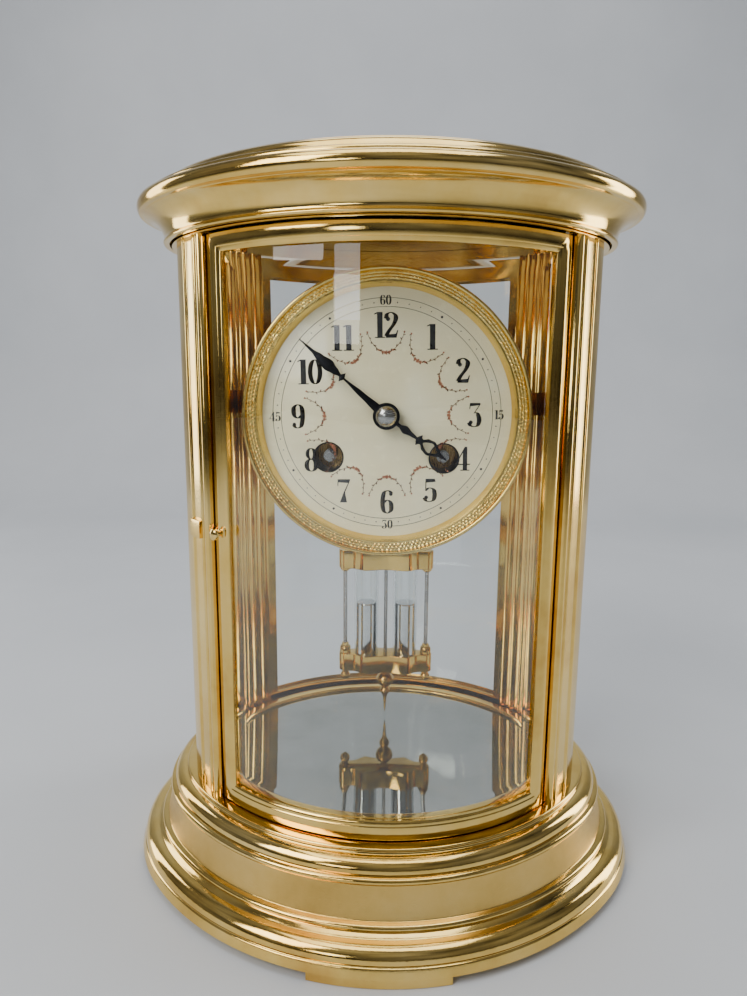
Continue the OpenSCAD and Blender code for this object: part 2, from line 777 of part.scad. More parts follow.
// A hand blade along +X: shank, cross piece, leaf and point
module blade(len, cross, leaf_w, boss) {
    circle(boss, $fn = mid);
    polygon([[0, -1.1], [cross, -0.45], [cross, 0.45], [0, 1.1]]);
    translate([cross - 0.6, 0]) square([1.2, 5], center = true);
    for (s = [-1, 1]) translate([cross - 0.6, s * 2.4]) circle(0.75, $fn = small);
    root = cross - 0.5;
    leaf = [for (i = [0:8]) [root + (len - root) * i / 8,
        leaf_w * sin(180 * pow(i / 8, 0.6)) + 0.12 * (8 - i) / 8]];
    polygon(concat(leaf, [for (i = [7:-1:0]) [leaf[i][0], -leaf[i][1]]]));
}
minute_turn = 311;
hour_turn = 125.9;
module minute_hand() {
    color("black") at_dial(hand_y - 2.4) difference() {
        rotate([0, 0, 90 - minute_turn]) linear_extrude(0.7) blade(38, 20, 1.9, 4);
        translate([0, 0, -1]) cylinder(r = 2, h = 3, $fn = small);
    }
}
module hour_hand() {
    color("black") at_dial(hand_y - 0.2) difference() {
        rotate([0, 0, 90 - hour_turn]) linear_extrude(0.7) blade(25, 11, 2.5, 4.2);
        translate([0, 0, -1]) cylinder(r = 2.7, h = 3, $fn = small);
    }
}
module hand_nut() {
    color("silver") at_dial(hand_y - 3.62) rotate_extrude($fn = mid)
        polygon(concat([[1.5, 0], [4.4, 0]], arc(0, -3.2, 5.4, 36, 73, 8), [[1.5, 1.9]]));
}

// ---- pendulum ----
swing_z = dial_z + pallet_at[1];
module suspension_block() {
    color("gold") {
        translate([-5, back_plate_y + 0.05, swing_z + 2]) cube([10, bob_y - back_plate_y + 2.5, 2]);
        translate([-5, back_plate_y + 0.05, swing_z - 3]) difference() {
            cube([10, 1.6, 7]);
            translate([5, -1, 3]) rotate([-90, 0, 0]) cylinder(r = 1.4, h = 4, $fn = small);
        }
        translate([0, bob_y - 2.2, swing_z]) difference() {
            translate([-2.4, 0, 0.6]) cube([4.8, 4.4, 2]);
            translate([-0.2, -1, -1]) cube([0.4, 8, 2.6]);
        }
    }
}
spring_drop = 9.6;
module suspension_spring() {
    color("silver") {
        translate([-0.06, bob_y - 1.6, swing_z + 2 - spring_drop]) cube([0.12, 3.2, 9]);
        translate([-1.6, bob_y - 1.8, swing_z - spring_drop]) cube([3.2, 3.6, 2]);
    }
}
plate_half = 4;
rod_low = bob_top_z + plate_half + 0.05;
rod_top = swing_z - spring_drop - 0.05;
module pendulum_rod() {
    color("gray") translate([0, bob_y, rod_low]) {
        cylinder(r = 0.75, h = rod_top - rod_low, $fn = small);
        cylinder(r = 1.8, h = 5, $fn = small);
    }
}
module bob_plate(z) {
    translate([0, bob_y, z - plate_half]) linear_extrude(2 * plate_half) difference() {
        union() {
            square([36, 8], center = true);
            for (x = [-bob_rod_x, bob_rod_x]) translate([x, 0]) circle(2.8, $fn = small);
            for (x = [-jar_x, jar_x]) translate([x, 0]) circle(6.6, $fn = mid);
            circle(5.2, $fn = mid);
        }
        for (x = [-13.4, 13.4], y = [-6.4, 6.4]) translate([x, y]) circle(3.4, $fn = mid);
    }
}
module bob_frame() {
    color("gold") difference() {
        union() {
            bob_plate(bob_top_z);
            bob_plate(bob_low_z);
        }
        for (x = [-jar_x, jar_x]) translate([x, bob_y, bob_low_z])
            cylinder(r = 5.45, h = bob_top_z - bob_low_z, $fn = mid);
        for (x = [-bob_rod_x, 0, bob_rod_x]) translate([x, bob_y, bob_low_z - 3])
            cylinder(r = 0.9, h = bob_top_z - bob_low_z + 6, $fn = small);
    }
    color("silver") for (x = [-bob_rod_x, 0, bob_rod_x]) translate([x, bob_y, bob_low_z - 3])
        cylinder(r = 0.9, h = bob_top_z - bob_low_z + 6, $fn = small);
    color("gold") {
        for (x = [-bob_rod_x, bob_rod_x]) finial(x, bob_low_z - plate_half, 0.62);
        finial(0, bob_low_z - plate_half, 1);
        translate([0, bob_y, 39.2]) cylinder(r1 = 0.2, r2 = 1.2, h = 9, $fn = small);
    }
}
module finial(x, top, k) {
    translate([x, bob_y, top]) rotate_extrude($fn = mid) polygon([[0, 0.2], [2.2 * k, 0.2],
        [2.2 * k, -1 * k], [1.3 * k, -1.8 * k], [2.6 * k, -3.4 * k], [3 * k, -5 * k],
        [2.4 * k, -7 * k], [1.2 * k, -8.6 * k], [1.6 * k, -9.8 * k], [0.9 * k, -12 * k], [0, -12.6 * k]]);
}
module mercury_jars() {
    color("lightblue", 0.4) for (x = [-jar_x, jar_x])
        translate([x, bob_y, bob_low_z + 0.1]) difference() {
            cylinder(r = 5.3, h = bob_top_z - bob_low_z - 0.4, $fn = mid);
            translate([0, 0, 1.2]) cylinder(r = 4.4, h = 60, $fn = mid);
        }
}
module mercury() {
    color("silver") for (x = [-jar_x, jar_x]) translate([x, bob_y, bob_low_z + 1.4])
        cylinder(r = 4.35, h = 26, $fn = mid);
}

base_plinth();
base_bottom_plate();
foot_pads();
floor_ring();
mirror_floor();
post_front_left();
post_front_right();
post_back_left();
post_back_right();
side_glass_left();
side_glass_right();
top_ring();
cornice();
top_cap();
post_screws();
front_door_frame();
front_door_glass();
front_door_knob();
front_hinge_pins();
back_door_frame();
back_door_glass();
back_door_knob();
back_hinge_pins();
door_catches();
bezel();
dial();
dial_band();
mount_straps();
strap_screws();
front_plate();
back_plate();
plate_pillars();
plate_nuts();
going_barrel();
going_arbor();
second_wheel();
centre_wheel();
third_wheel();
escape_wheel();
anchor();
strike_barrel();
strike_arbor();
pin_wheel();
locking_wheel();
fly();
hammer();
bell();
bell_stand();
cannon_pinion();
minute_wheel();
hour_wheel();
minute_hand();
hour_hand();
hand_nut();
suspension_block();
suspension_spring();
pendulum_rod();
bob_frame();
mercury_jars();
mercury();
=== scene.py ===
"""Looks of the oval four-glass mantel clock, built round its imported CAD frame.

Shapes are worked out in millimetres and scaled to metres as each mesh is made. Every level of
the case is an offset of one four-centred oval, named by its half width u.
"""

import json
import random
from itertools import product
from math import asin, atan2, cos, degrees, pi, radians, sin, sqrt

import bmesh
import bpy
from mathutils import Matrix, Vector


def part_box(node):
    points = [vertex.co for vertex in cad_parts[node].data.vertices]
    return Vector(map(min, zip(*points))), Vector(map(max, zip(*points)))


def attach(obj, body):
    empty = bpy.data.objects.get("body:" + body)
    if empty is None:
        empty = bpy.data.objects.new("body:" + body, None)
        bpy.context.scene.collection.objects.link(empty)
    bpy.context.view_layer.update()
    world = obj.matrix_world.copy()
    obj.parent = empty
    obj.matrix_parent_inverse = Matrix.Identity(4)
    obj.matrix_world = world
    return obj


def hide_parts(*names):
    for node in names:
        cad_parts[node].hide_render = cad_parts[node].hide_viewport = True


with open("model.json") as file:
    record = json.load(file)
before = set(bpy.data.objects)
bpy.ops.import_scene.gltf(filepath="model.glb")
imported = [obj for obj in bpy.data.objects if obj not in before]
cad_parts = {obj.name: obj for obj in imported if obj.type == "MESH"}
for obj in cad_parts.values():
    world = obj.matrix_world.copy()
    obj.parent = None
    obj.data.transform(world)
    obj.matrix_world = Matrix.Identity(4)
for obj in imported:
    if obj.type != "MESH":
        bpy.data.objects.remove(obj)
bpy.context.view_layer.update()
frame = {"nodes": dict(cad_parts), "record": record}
MM = 0.001
SLOT_OF = {s["node"]: s["material_slot"] for s in frame["record"]["subparts"]}


def box_mm(node):
    """Lowest and highest corner of a CAD node, in millimetres."""
    low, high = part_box(node)
    return low / MM, high / MM


def new_object(name, data):
    obj = bpy.data.objects.new(name, data)
    bpy.context.scene.collection.objects.link(obj)
    return obj


# ---- camera and stage
CAMERA_AT = Vector((2.4, -269.9, 188.9))
CAMERA_PITCH = -9.95
CAMERA_YAW = 1.6
CAMERA_ROLL = 0.44
CAMERA_LENS = 24.94
BACKDROP_AT = 900.0
BACKDROP_BEND = 260.0
BACKDROP_TOP = 2400
FLOOR_FROM = -2600
FLOOR_SIDE = 3000
FLOOR_Z = -0.2


def make_camera():
    """A camera close in front of the clock, looking slightly down."""
    data = bpy.data.cameras.new("camera")
    data.lens = CAMERA_LENS
    data.sensor_width = 36
    data.clip_start = 0.01
    camera = new_object("camera", data)
    turn = Matrix.Rotation(radians(CAMERA_YAW), 4, "Z")
    tilt = Matrix.Rotation(radians(90 + CAMERA_PITCH), 4, "X")
    roll = Matrix.Rotation(radians(CAMERA_ROLL), 4, "Z")
    camera.matrix_world = Matrix.Translation(CAMERA_AT * MM) @ turn @ tilt @ roll
    bpy.context.scene.camera = camera


# ---- node helpers
def new_material(name, **values):
    """A material and its Principled shader, with plain numbers and colours set on the sockets."""
    mat = bpy.data.materials.new(name)
    mat.use_nodes = True
    shader = mat.node_tree.nodes["Principled BSDF"]
    for key, value in values.items():
        shader.inputs[key.replace("_", " ").title().replace("Ior", "IOR")].default_value = value
    return mat, shader


def link(mat, output, socket):
    mat.node_tree.links.new(output, socket)


def add_node(mat, kind, inputs=None, **settings):
    """A shader node, with its inputs linked or set."""
    node = mat.node_tree.nodes.new("ShaderNode" + kind)
    for key, value in settings.items():
        setattr(node, key, value)
    for key, value in (inputs or {}).items():
        if isinstance(value, bpy.types.NodeSocket):
            link(mat, value, node.inputs[key])
        else:
            node.inputs[key].default_value = value
    return node


def noise(mat, scale, stretch=(1, 1, 1), detail=3.0, rough=0.55):
    """Noise in object space; a large stretch along an axis makes fine lines across it."""
    where = add_node(mat, "TexCoord").outputs["Object"]
    drawn = add_node(mat, "Mapping", {"Vector": where, "Scale": stretch}).outputs["Vector"]
    return add_node(mat, "TexNoise", {"Vector": drawn, "Scale": scale, "Detail": detail,
                                      "Roughness": rough}).outputs["Fac"]


def ramp(mat, fac, stops):
    node = add_node(mat, "ValToRGB", {"Fac": fac})
    points = node.color_ramp.elements
    while len(points) < len(stops):
        points.new(0.5)
    for point, (at, colour) in zip(points, stops):
        point.position = at
        point.color = (*colour, 1)
    return node.outputs["Color"]


def spread(mat, fac, low, high):
    """Maps the middle of a noise onto low to high."""
    return add_node(mat, "MapRange", {"Value": fac, "From Min": 0.3, "From Max": 0.7,
                                      "To Min": low, "To Max": high}).outputs["Result"]


def bump(mat, shader, height, strength, distance):
    node = add_node(mat, "Bump", {"Height": height, "Strength": strength, "Distance": distance})
    link(mat, node.outputs["Normal"], shader.inputs["Normal"])


def tint(mat, shader, fac, *stops):
    link(mat, ramp(mat, fac, stops), shader.inputs["Base Color"])


def gloss(mat, shader, fac, low, high):
    link(mat, spread(mat, fac, low, high), shader.inputs["Roughness"])


# ---- materials
GLASS_IOR = 1.5
PAINT_ROUGH = (0.25, 0.45)
BUMP_DEEP = 0.0002


def metal(name, dark, mid, light, rough, lines, line_bump, dent_bump=0.0):
    """Polished metal: cloudy tarnish in its colour, polishing lines and soft dents."""
    mat, shader = new_material(name, metallic=1.0)
    cloud = noise(mat, 26, detail=5, rough=0.62)
    tint(mat, shader, cloud, (0.3, dark), (0.5, mid), (0.72, light))
    grain = noise(mat, 420, lines, detail=4, rough=0.7)
    gloss(mat, shader, grain, *rough)
    height = grain
    if dent_bump:
        dents = noise(mat, 130, (1, 1, 0.45), detail=2)
        scaled = add_node(mat, "Math", {0: dents, 1: dent_bump / line_bump}, operation="MULTIPLY")
        summed = add_node(mat, "Math", {0: grain, 1: scaled.outputs[0]}, operation="ADD")
        height = summed.outputs[0]
    bump(mat, shader, height, line_bump, BUMP_DEEP)
    return mat


def glass(name, colour):
    """Clear glass that lets lamps through, with a faint haze of handling marks."""
    mat, shader = new_material(name, base_color=(*colour, 1), transmission_weight=1.0,
                               ior=GLASS_IOR)
    gloss(mat, shader, noise(mat, 90, detail=4, rough=0.6), 0.0, 0.018)
    path = add_node(mat, "LightPath").outputs["Is Shadow Ray"]
    clear = add_node(mat, "BsdfTransparent", {"Color": (*colour, 1)}).outputs[0]
    mix = add_node(mat, "MixShader", {0: path, 1: shader.outputs[0], 2: clear})
    link(mat, mix.outputs[0], mat.node_tree.nodes["Material Output"].inputs[0])
    return mat


def enamel():
    """Glossy vitreous enamel: ivory with faint clouding and a slightly uneven surface."""
    mat, shader = new_material("enamel", coat_weight=0.7, coat_roughness=0.04)
    tint(mat, shader, noise(mat, 55, detail=5), (0.3, (0.90, 0.81, 0.51)),
         (0.55, (0.95, 0.87, 0.59)), (0.75, (0.97, 0.92, 0.67)))
    gloss(mat, shader, noise(mat, 300), 0.18, 0.3)
    bump(mat, shader, noise(mat, 160, detail=2), 0.05, 0.0001)
    return mat


def paint(name, dark, light):
    """Fired paint, a little uneven in tone and gloss."""
    mat, shader = new_material(name)
    cloud = noise(mat, 700, detail=3)
    tint(mat, shader, cloud, (0.35, dark), (0.65, light))
    gloss(mat, shader, cloud, *PAINT_ROUGH)
    return mat


def wood():
    """Dark stained wood with its grain along X."""
    mat, shader = new_material("wood")
    grain = noise(mat, 60, (1, 14, 1), detail=6, rough=0.7)
    tint(mat, shader, grain, (0.3, (0.10, 0.05, 0.02)), (0.7, (0.26, 0.14, 0.06)))
    gloss(mat, shader, grain, 0.5, 0.7)
    bump(mat, shader, grain, 0.2, 0.0003)
    return mat


BRASS = "polished_brass"
# Each metal's darkest, middle and lightest colour, least and most roughness, stretch of its
# polishing lines, and strength of the lines and the dents
METALS = {
    BRASS: ((0.66, 0.39, 0.09), (0.87, 0.59, 0.16), (0.95, 0.70, 0.26),
            (0.04, 0.13), (1, 1, 12), 0.06, 0.16),
    "gilt_brass": ((0.72, 0.46, 0.10), (0.90, 0.64, 0.18), (0.97, 0.76, 0.30),
                   (0.12, 0.26), (1, 1, 1), 0.10),
    "movement_brass": ((0.50, 0.30, 0.10), (0.70, 0.46, 0.18), (0.80, 0.56, 0.25),
                       (0.2, 0.36), (8, 1, 1), 0.10),
    # satin_brass is rougher than the polished brass, and its darker colours are painted shade for
    # the dark band round the base
    "satin_brass": ((0.60, 0.38, 0.10), (0.76, 0.51, 0.15), (0.84, 0.60, 0.22),
                    (0.26, 0.38), (1, 1, 20), 0.12),
    "steel": ((0.34, 0.33, 0.32), (0.48, 0.48, 0.48), (0.60, 0.60, 0.60),
              (0.14, 0.30), (1, 1, 6), 0.10),
    "black_steel": ((0.012, 0.012, 0.014), (0.02, 0.02, 0.024), (0.035, 0.035, 0.04),
                    (0.25, 0.42), (1, 1, 1), 0.10),
    "mirror_glass": ((0.42, 0.43, 0.40), (0.48, 0.49, 0.46), (0.53, 0.54, 0.51),
                     (0.015, 0.05), (1, 1, 1), 0.01),
    "bell_metal": ((0.50, 0.49, 0.46), (0.66, 0.65, 0.62), (0.74, 0.73, 0.70),
                   (0.10, 0.22), (1, 1, 1), 0.06),
    "liquid_mercury": ((0.66, 0.66, 0.67), (0.78, 0.78, 0.79), (0.84, 0.84, 0.85),
                       (0.03, 0.09), (1, 1, 0.3), 0.04),
}
MATERIALS = {name: metal(name, *look) for name, look in METALS.items()}
MATERIALS.update(enamel=enamel(), wood_base=wood(),
                 clear_glass=glass("clear_glass", (0.965, 0.985, 0.98)))
NUMERAL_BLACK = paint("numeral_black", (0.006, 0.006, 0.007), (0.02, 0.02, 0.022))
SWAG_BROWN = paint("swag_brown", (0.09, 0.040, 0.015), (0.20, 0.09, 0.04))
SWAG_PINK = paint("swag_pink", (0.30, 0.09, 0.04), (0.48, 0.18, 0.09))
TRACK_BLACK = paint("track_black", (0.02, 0.02, 0.02), (0.05, 0.045, 0.04))


# ---- the oval
PLINTH_U = box_mm("base_plinth")[1].x
OVAL_FLAT = PLINTH_U - box_mm("base_plinth")[1].y
END_CENTRE = 30.0
OVAL_LEAD = END_CENTRE - OVAL_FLAT
LONG_CENTRE = (END_CENTRE ** 2 - OVAL_LEAD ** 2) / (2 * OVAL_LEAD)
LONG_ADD = LONG_CENTRE - OVAL_FLAT
LONG_HALF = degrees(atan2(END_CENTRE, LONG_CENTRE))
END_HALF = 90 - LONG_HALF
LONG_STEPS = 84
END_STEPS = 56


def front_pt(t, u):
    """A point of the front arc, t degrees right of -Y."""
    a = radians(t)
    return (u + LONG_ADD) * sin(a), LONG_CENTRE - (u + LONG_ADD) * cos(a)


def end_pt(t, u):
    """A point of the right end arc, t degrees from +X."""
    a = radians(t)
    return END_CENTRE + (u - END_CENTRE) * cos(a), (u - END_CENTRE) * sin(a)


def oval_stations():
    """Functions of u that give one point each, round the whole oval anticlockwise."""
    out = []
    arcs = ((front_pt, LONG_HALF, LONG_STEPS), (end_pt, END_HALF, END_STEPS))
    for side, (pt, half, steps) in product((1, -1), arcs):
        for i in range(steps):
            t = half * (2 * i / steps - 1)
            out.append(lambda u, pt=pt, t=t, side=side: [side * c for c in pt(t, u)])
    return out


STATIONS = oval_stations()
SAME_POINT = 1e-6  # two points nearer than this are one
LEAST_TURN = 28  # degrees a corner turns by before it is eased
MOST_EASED = 0.4  # share of a side that an eased corner may take
CORNER_STEPS = 3


def polar(r, a):
    return r * cos(a), r * sin(a)


def arc(cx, cz, r, start, end, n=14):
    """Points of an arc, its angles in degrees."""
    return [(cx + r * cos(radians(start + (end - start) * i / n)),
             cz + r * sin(radians(start + (end - start) * i / n)))
            for i in range(n + 1)]


def rounded(points, radius):
    """A closed outline with its sharp corners eased by short curves."""
    out = []
    count = len(points)
    for i, here in enumerate(points):
        p = Vector(here)
        back = Vector(points[i - 1]) - p
        ahead = Vector(points[(i + 1) % count]) - p
        if back.length < SAME_POINT or ahead.length < SAME_POINT:
            continue
        turn = 180 - degrees(back.angle(ahead))
        if turn < LEAST_TURN:
            out.append(tuple(p))
            continue
        a = p + back.normalized() * min(radius, back.length * MOST_EASED)
        b = p + ahead.normalized() * min(radius, ahead.length * MOST_EASED)
        for k in range(CORNER_STEPS + 1):
            s = k / CORNER_STEPS
            out.append(tuple(a * (1 - s) ** 2 + p * 2 * s * (1 - s) + b * s ** 2))
    return out


# ---- mesh helpers
WELD = 2e-7  # metres
SHARP = 32  # degrees between faces from which an edge is drawn sharp


def finish_piece(obj, body, mats, replaces, sharp):
    """Welds, orients and shades a mesh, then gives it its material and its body."""
    mesh = bmesh.new()
    mesh.from_mesh(obj.data)
    bmesh.ops.remove_doubles(mesh, verts=mesh.verts, dist=WELD)
    bmesh.ops.recalc_face_normals(mesh, faces=mesh.faces)
    for face in mesh.faces:
        face.smooth = True
    for edge in mesh.edges:
        if edge.is_manifold and edge.calc_face_angle(0) > radians(sharp):
            edge.smooth = False
    mesh.to_mesh(obj.data)
    mesh.free()
    for mat in mats if isinstance(mats, (list, tuple)) else [mats]:
        obj.data.materials.append(mat)
    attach(obj, body)
    if replaces:
        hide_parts(*replaces)
    return obj


def build(name, verts, faces, body, slot, mats=None, replaces=(), sharp=SHARP, face_mats=None):
    """A mesh piece from points in millimetres."""
    data = bpy.data.meshes.new(name)
    data.from_pydata([Vector(v) * MM for v in verts], [], faces)
    if face_mats:
        data.polygons.foreach_set("material_index", face_mats)
    return finish_piece(new_object(name, data), body, mats or MATERIALS[slot], replaces,
                        sharp)


def turned_faces(steps, n, closed=False):
    """Faces between neighbouring rows of n points all the way round, the rows closed or open."""
    faces = []
    for i in range(steps):
        j = (i + 1) % steps
        for k in range(n if closed else n - 1):
            m = (k + 1) % n
            faces.append((i * n + k, j * n + k, j * n + m, i * n + m))
    return faces


def sweep_oval(name, profile, slot, replaces=(), mats=None, band=None):
    """A closed (u, z) profile swept round the oval.

    Faces between a band's first two numbers in z, and outside its third in u, take the second
    material.
    """
    n = len(profile)
    verts = [(*at(u), z) for at in STATIONS for u, z in profile]
    banded = []
    for (u0, z0), (u1, z1) in zip(profile, profile[1:] + profile[:1]):
        banded.append(int(bool(band) and band[0] < (z0 + z1) / 2 < band[1]
                          and min(u0, u1) > band[2]))
    return build(name, verts, turned_faces(len(STATIONS), n, True), "case", slot, mats, replaces,
                 face_mats=banded * len(STATIONS))


def oval_plate(name, levels, slot, replaces):
    """A solid oval plate from (u, z) levels, from its underside out and round to its top."""
    verts = [(*at(u), z) for u, z in levels for at in STATIONS]
    n = len(STATIONS)
    faces = [tuple(reversed(range(n))), tuple(range((len(levels) - 1) * n, len(levels) * n))]
    for k in range(len(levels) - 1):
        for i in range(n):
            j = (i + 1) % n
            faces.append((k * n + i, k * n + j, (k + 1) * n + j, (k + 1) * n + i))
    return build(name, verts, faces, "case", slot, replaces=replaces)


def lathe_mesh(profile, place, steps):
    """Vertices and faces of an (r, h) profile turned about local Z and put in place."""
    verts = []
    for i in range(steps):
        a = radians(360 * i / steps)
        for r, h in profile:
            verts.append(place @ Vector((*polar(r, a), h)))
    return verts, turned_faces(steps, len(profile))


def lathe(name, profile, place, body, slot, replaces, steps, sharp=SHARP):
    return build(name, *lathe_mesh(profile, place, steps), body, slot, replaces=replaces,
                 sharp=sharp)


def joined(parts):
    """Several (vertices, faces) lists as one."""
    verts, faces = [], []
    for v, f in parts:
        faces += [tuple(i + len(verts) for i in face) for face in f]
        verts += v
    return verts, faces


def flat_shape(name, outlines, thick, place, body, slot, bevel, replaces, sharp=SHARP):
    """Outlines in local XY, with holes, made thick along local Z from 0 and eased by bevel."""
    data = bpy.data.curves.new(name, "CURVE")
    data.dimensions = "2D"
    data.fill_mode = "BOTH"
    data.extrude = thick / 2 - bevel
    data.bevel_depth = bevel
    data.bevel_resolution = 2
    data.offset = -bevel
    for outline in outlines:
        spline = data.splines.new("POLY")
        spline.points.add(len(outline) - 1)
        spline.points.foreach_set("co", [c for x, y in outline for c in (x, y, 0, 1)])
        spline.use_cyclic_u = True
    curve = new_object(name, data)
    bpy.context.view_layer.update()
    solid = bpy.data.meshes.new_from_object(
        curve.evaluated_get(bpy.context.evaluated_depsgraph_get()))
    bpy.data.objects.remove(curve)
    solid.transform(Matrix.Scale(MM, 4) @ place @ Matrix.Translation((0, 0, thick / 2)))
    solid.name = name
    solid.materials.clear()
    return finish_piece(new_object(name, solid), body, MATERIALS[slot], replaces, sharp)


UP = Matrix.Identity(4)
BACK_HALF = Matrix.Diagonal((1, -1, 1, 1))
LEFT_HALF = Matrix.Diagonal((-1, 1, 1, 1))


def upright(x=0.0, y=0.0, z=0.0):
    return Matrix.Translation((x, y, z))


# ---- case: base and top
DECK_Z = box_mm("base_plinth")[1].z
POST_TOP = box_mm("post_front_left")[1].z
TOP_Z = box_mm("cornice")[1].z
# The base's satin band is rough satin brass, and its darker colour there is painted shade
SHADED_SATIN_BAND = (15.4, 25.9, 87.2)  # lowest z, highest z and least u of the base's satin band


def make_base():
    """Stepped base mouldings, the ring and ledge inside the doors, and the mirror."""
    profile = (
        [(94, 6), (95, 5.9), (95, 3), (100, 3), (98.9, 6.2), (98.3, 6.5)]
        + arc(94.2, 7.1, 4.5, 4, 84, 18)
        + [(93.2, 11.7), (92.4, 12.3)]
        + arc(90.7, 13.8, 1.25, -55, 80)
        + [(89.5, 15.2), (87.3, 26.0)]
        + arc(86.8, 27.5, 1.25, -65, 75)
        + [(86.2, 28.8)]
        + arc(82.3, 29.3, 4, 2, 86, 18)
        + [(81.5, 33.3), (81.2, 34.0)]
        + arc(80.7, 34.3, 0.7, 10, 90, 6)
        + [(66, DECK_Z), (66, 32), (78, 32), (83.4, 25), (86, 15), (91, 8.6)]
    )
    # The satin band takes satin_brass, whose darker colour is painted shade
    sweep_oval("plinth_mouldings", rounded(profile, 0.25), BRASS, ["base_plinth"],
               [MATERIALS[BRASS], MATERIALS["satin_brass"]], SHADED_SATIN_BAND)
    ring = [(65, DECK_Z), (69.9, DECK_Z), (69.9, 38.4), (69.3, 39), (65.8, 39), (65, 38.2)]
    ledge = [(58, 32.6), (65.9, 32.6), (65.9, DECK_Z), (58, DECK_Z)]
    sweep_oval("floor_ring_brass", rounded(ring, 0.4), BRASS, ["floor_ring"])
    sweep_oval("mirror_ledge", rounded(ledge, 0.2), BRASS)
    plate = [(58, 35.02), (64.6, 35.02), (64.9, 35.4), (64.9, 36.8), (63.9, 37.4),
             (63.4, 37.4)]
    oval_plate("mirror_plate", plate, "mirror_glass", ["mirror_floor"])


def make_top():
    """Cornice mouldings and the flat top inside them."""
    base = POST_TOP + 0.6
    profile = (
        [(74, base + 3.8), (80.2, base + 3.8), (80.2, base), (82, base), (82.4, base + 0.6),
         (82, base + 1.4)]
        + arc(90.4, 235.4, 8.6, 172, 106, 20)
        + [(88.3, 243.75), (88.5, 243.95)]
        + arc(87.6, 246.2, 3.2, -40, 62, 16)
        + [(88.5, 249.3), (87.3, 249.7)]
        + arc(85.5, 249.6, 1.6, 5, 80, 8)
        + [(83.7, 251.6), (82.9, 252.1)]
        + arc(77.8, 250.8, 4.5, 20, 82, 12)
        + [(77.7, 255.4), (77, TOP_Z), (74, TOP_Z)]
    )
    sweep_oval("cornice_mouldings", rounded(profile, 0.22), BRASS, ["cornice"])
    cap = [(70, 238.1), (73.7, 238.1), (73.8, 255.6), (73.4, TOP_Z), (71.4, TOP_Z + 0.1),
           (71, TOP_Z + 0.3), (70.9, TOP_Z + 0.9), (70.4, TOP_Z + 1.2), (69.8, TOP_Z + 1.2)]
    oval_plate("top_plate", cap, BRASS, ["top_cap"])


# ---- case: posts
POST_U = 78.6
POST_IN = 70.0
POST_FROM = 42.9
POST_TO = -30.0
LIP_IN = POST_U - 1.2
LIP_TO = POST_TO + 2.5
POST_RADIUS = POST_U + LONG_ADD
FIRST_S = radians(POST_FROM) * POST_RADIUS
CORNER_S = radians(LONG_HALF) * POST_RADIUS
# Beads and grooves of a post's face: middle along its plan, half width and height
POST_BEADS = [(FIRST_S + 2.1, 1.45, 1.25), (FIRST_S + 4.4, 0.8, -0.7), (FIRST_S + 6.4, 0.9, 0.35),
              (CORNER_S + 1.4, 0.7, -0.55), (CORNER_S + 3.2, 0.8, 0.3)]
FLUTE_DEEP = 0.4
FACE_STEPS = 110
LIP_STEPS = 6
FLUTE_STEPS = 36


def post_relief(s):
    """How far the post's face stands out at s millimetres along its plan from -Y."""
    out = 0.0
    for at, half, high in POST_BEADS:
        x = (s - at) / half
        if abs(x) < 1:
            out += high * sqrt(1 - x * x)
    return out


def inner_flute(share):
    """Depth of the two shallow flutes in a post's inner face, at a share of its width."""
    return FLUTE_DEEP * abs(sin(2 * pi * share)) ** 0.5


def post_outline():
    """Plan of the front right post: moulded face, lip for the side glass and fluted inside."""
    end_len = radians(END_HALF + POST_TO) * (POST_U - END_CENTRE)
    points = []
    for i in range(FACE_STEPS + 1):
        s = FIRST_S + (CORNER_S + end_len - FIRST_S) * i / FACE_STEPS
        u = POST_U + post_relief(s)
        if s <= CORNER_S:
            points.append(front_pt(degrees(s / POST_RADIUS), u))
        else:
            turn = degrees((s - CORNER_S) / (POST_U - END_CENTRE))
            points.append(end_pt(-END_HALF + turn, u))
    lip = range(LIP_STEPS + 1)
    points += [end_pt(POST_TO + (LIP_TO - POST_TO) * i / LIP_STEPS, POST_U) for i in lip[1:]]
    points += [end_pt(LIP_TO + (POST_TO - LIP_TO) * i / LIP_STEPS, LIP_IN) for i in lip]
    inside = [i / FLUTE_STEPS for i in range(FLUTE_STEPS + 1)]
    points += [end_pt(POST_TO + (-END_HALF - POST_TO) * i, POST_IN + inner_flute(i))
               for i in inside]
    points += [front_pt(LONG_HALF + (POST_FROM - LONG_HALF) * i, POST_IN + inner_flute(i))
               for i in inside[1:]]
    return points


def make_posts():
    outline = post_outline()
    height = POST_TOP - DECK_Z
    for name, half in (("front_right", UP), ("front_left", LEFT_HALF), ("back_right", BACK_HALF),
                       ("back_left", BACK_HALF @ LEFT_HALF)):
        flat_shape(f"post_brass_{name}", [outline], height, half @ upright(z=DECK_Z), "case",
                   BRASS, 0.12, [f"post_{name}"])


# ---- doors and glass
DOOR_U = 77.5
DOOR_HALF = 42.5
STILE = 4.1
DOOR_IN = DOOR_U - 5
DOOR_LOW = box_mm("front_door_frame")[0].z
DOOR_HIGH = box_mm("front_door_frame")[1].z
OPEN_LOW = box_mm("front_door_glass")[0].z + 1.5
OPEN_HIGH = box_mm("front_door_glass")[1].z - 1.5
REBATE_U = DOOR_U - 1.3
GLASS_T = 2.8
BEVEL_W = 7.5
BEVEL_DEEP = 0.7
BEVEL_CUTS = 5
UPRIGHT_STEPS = 6
FRAME_STEPS = 60


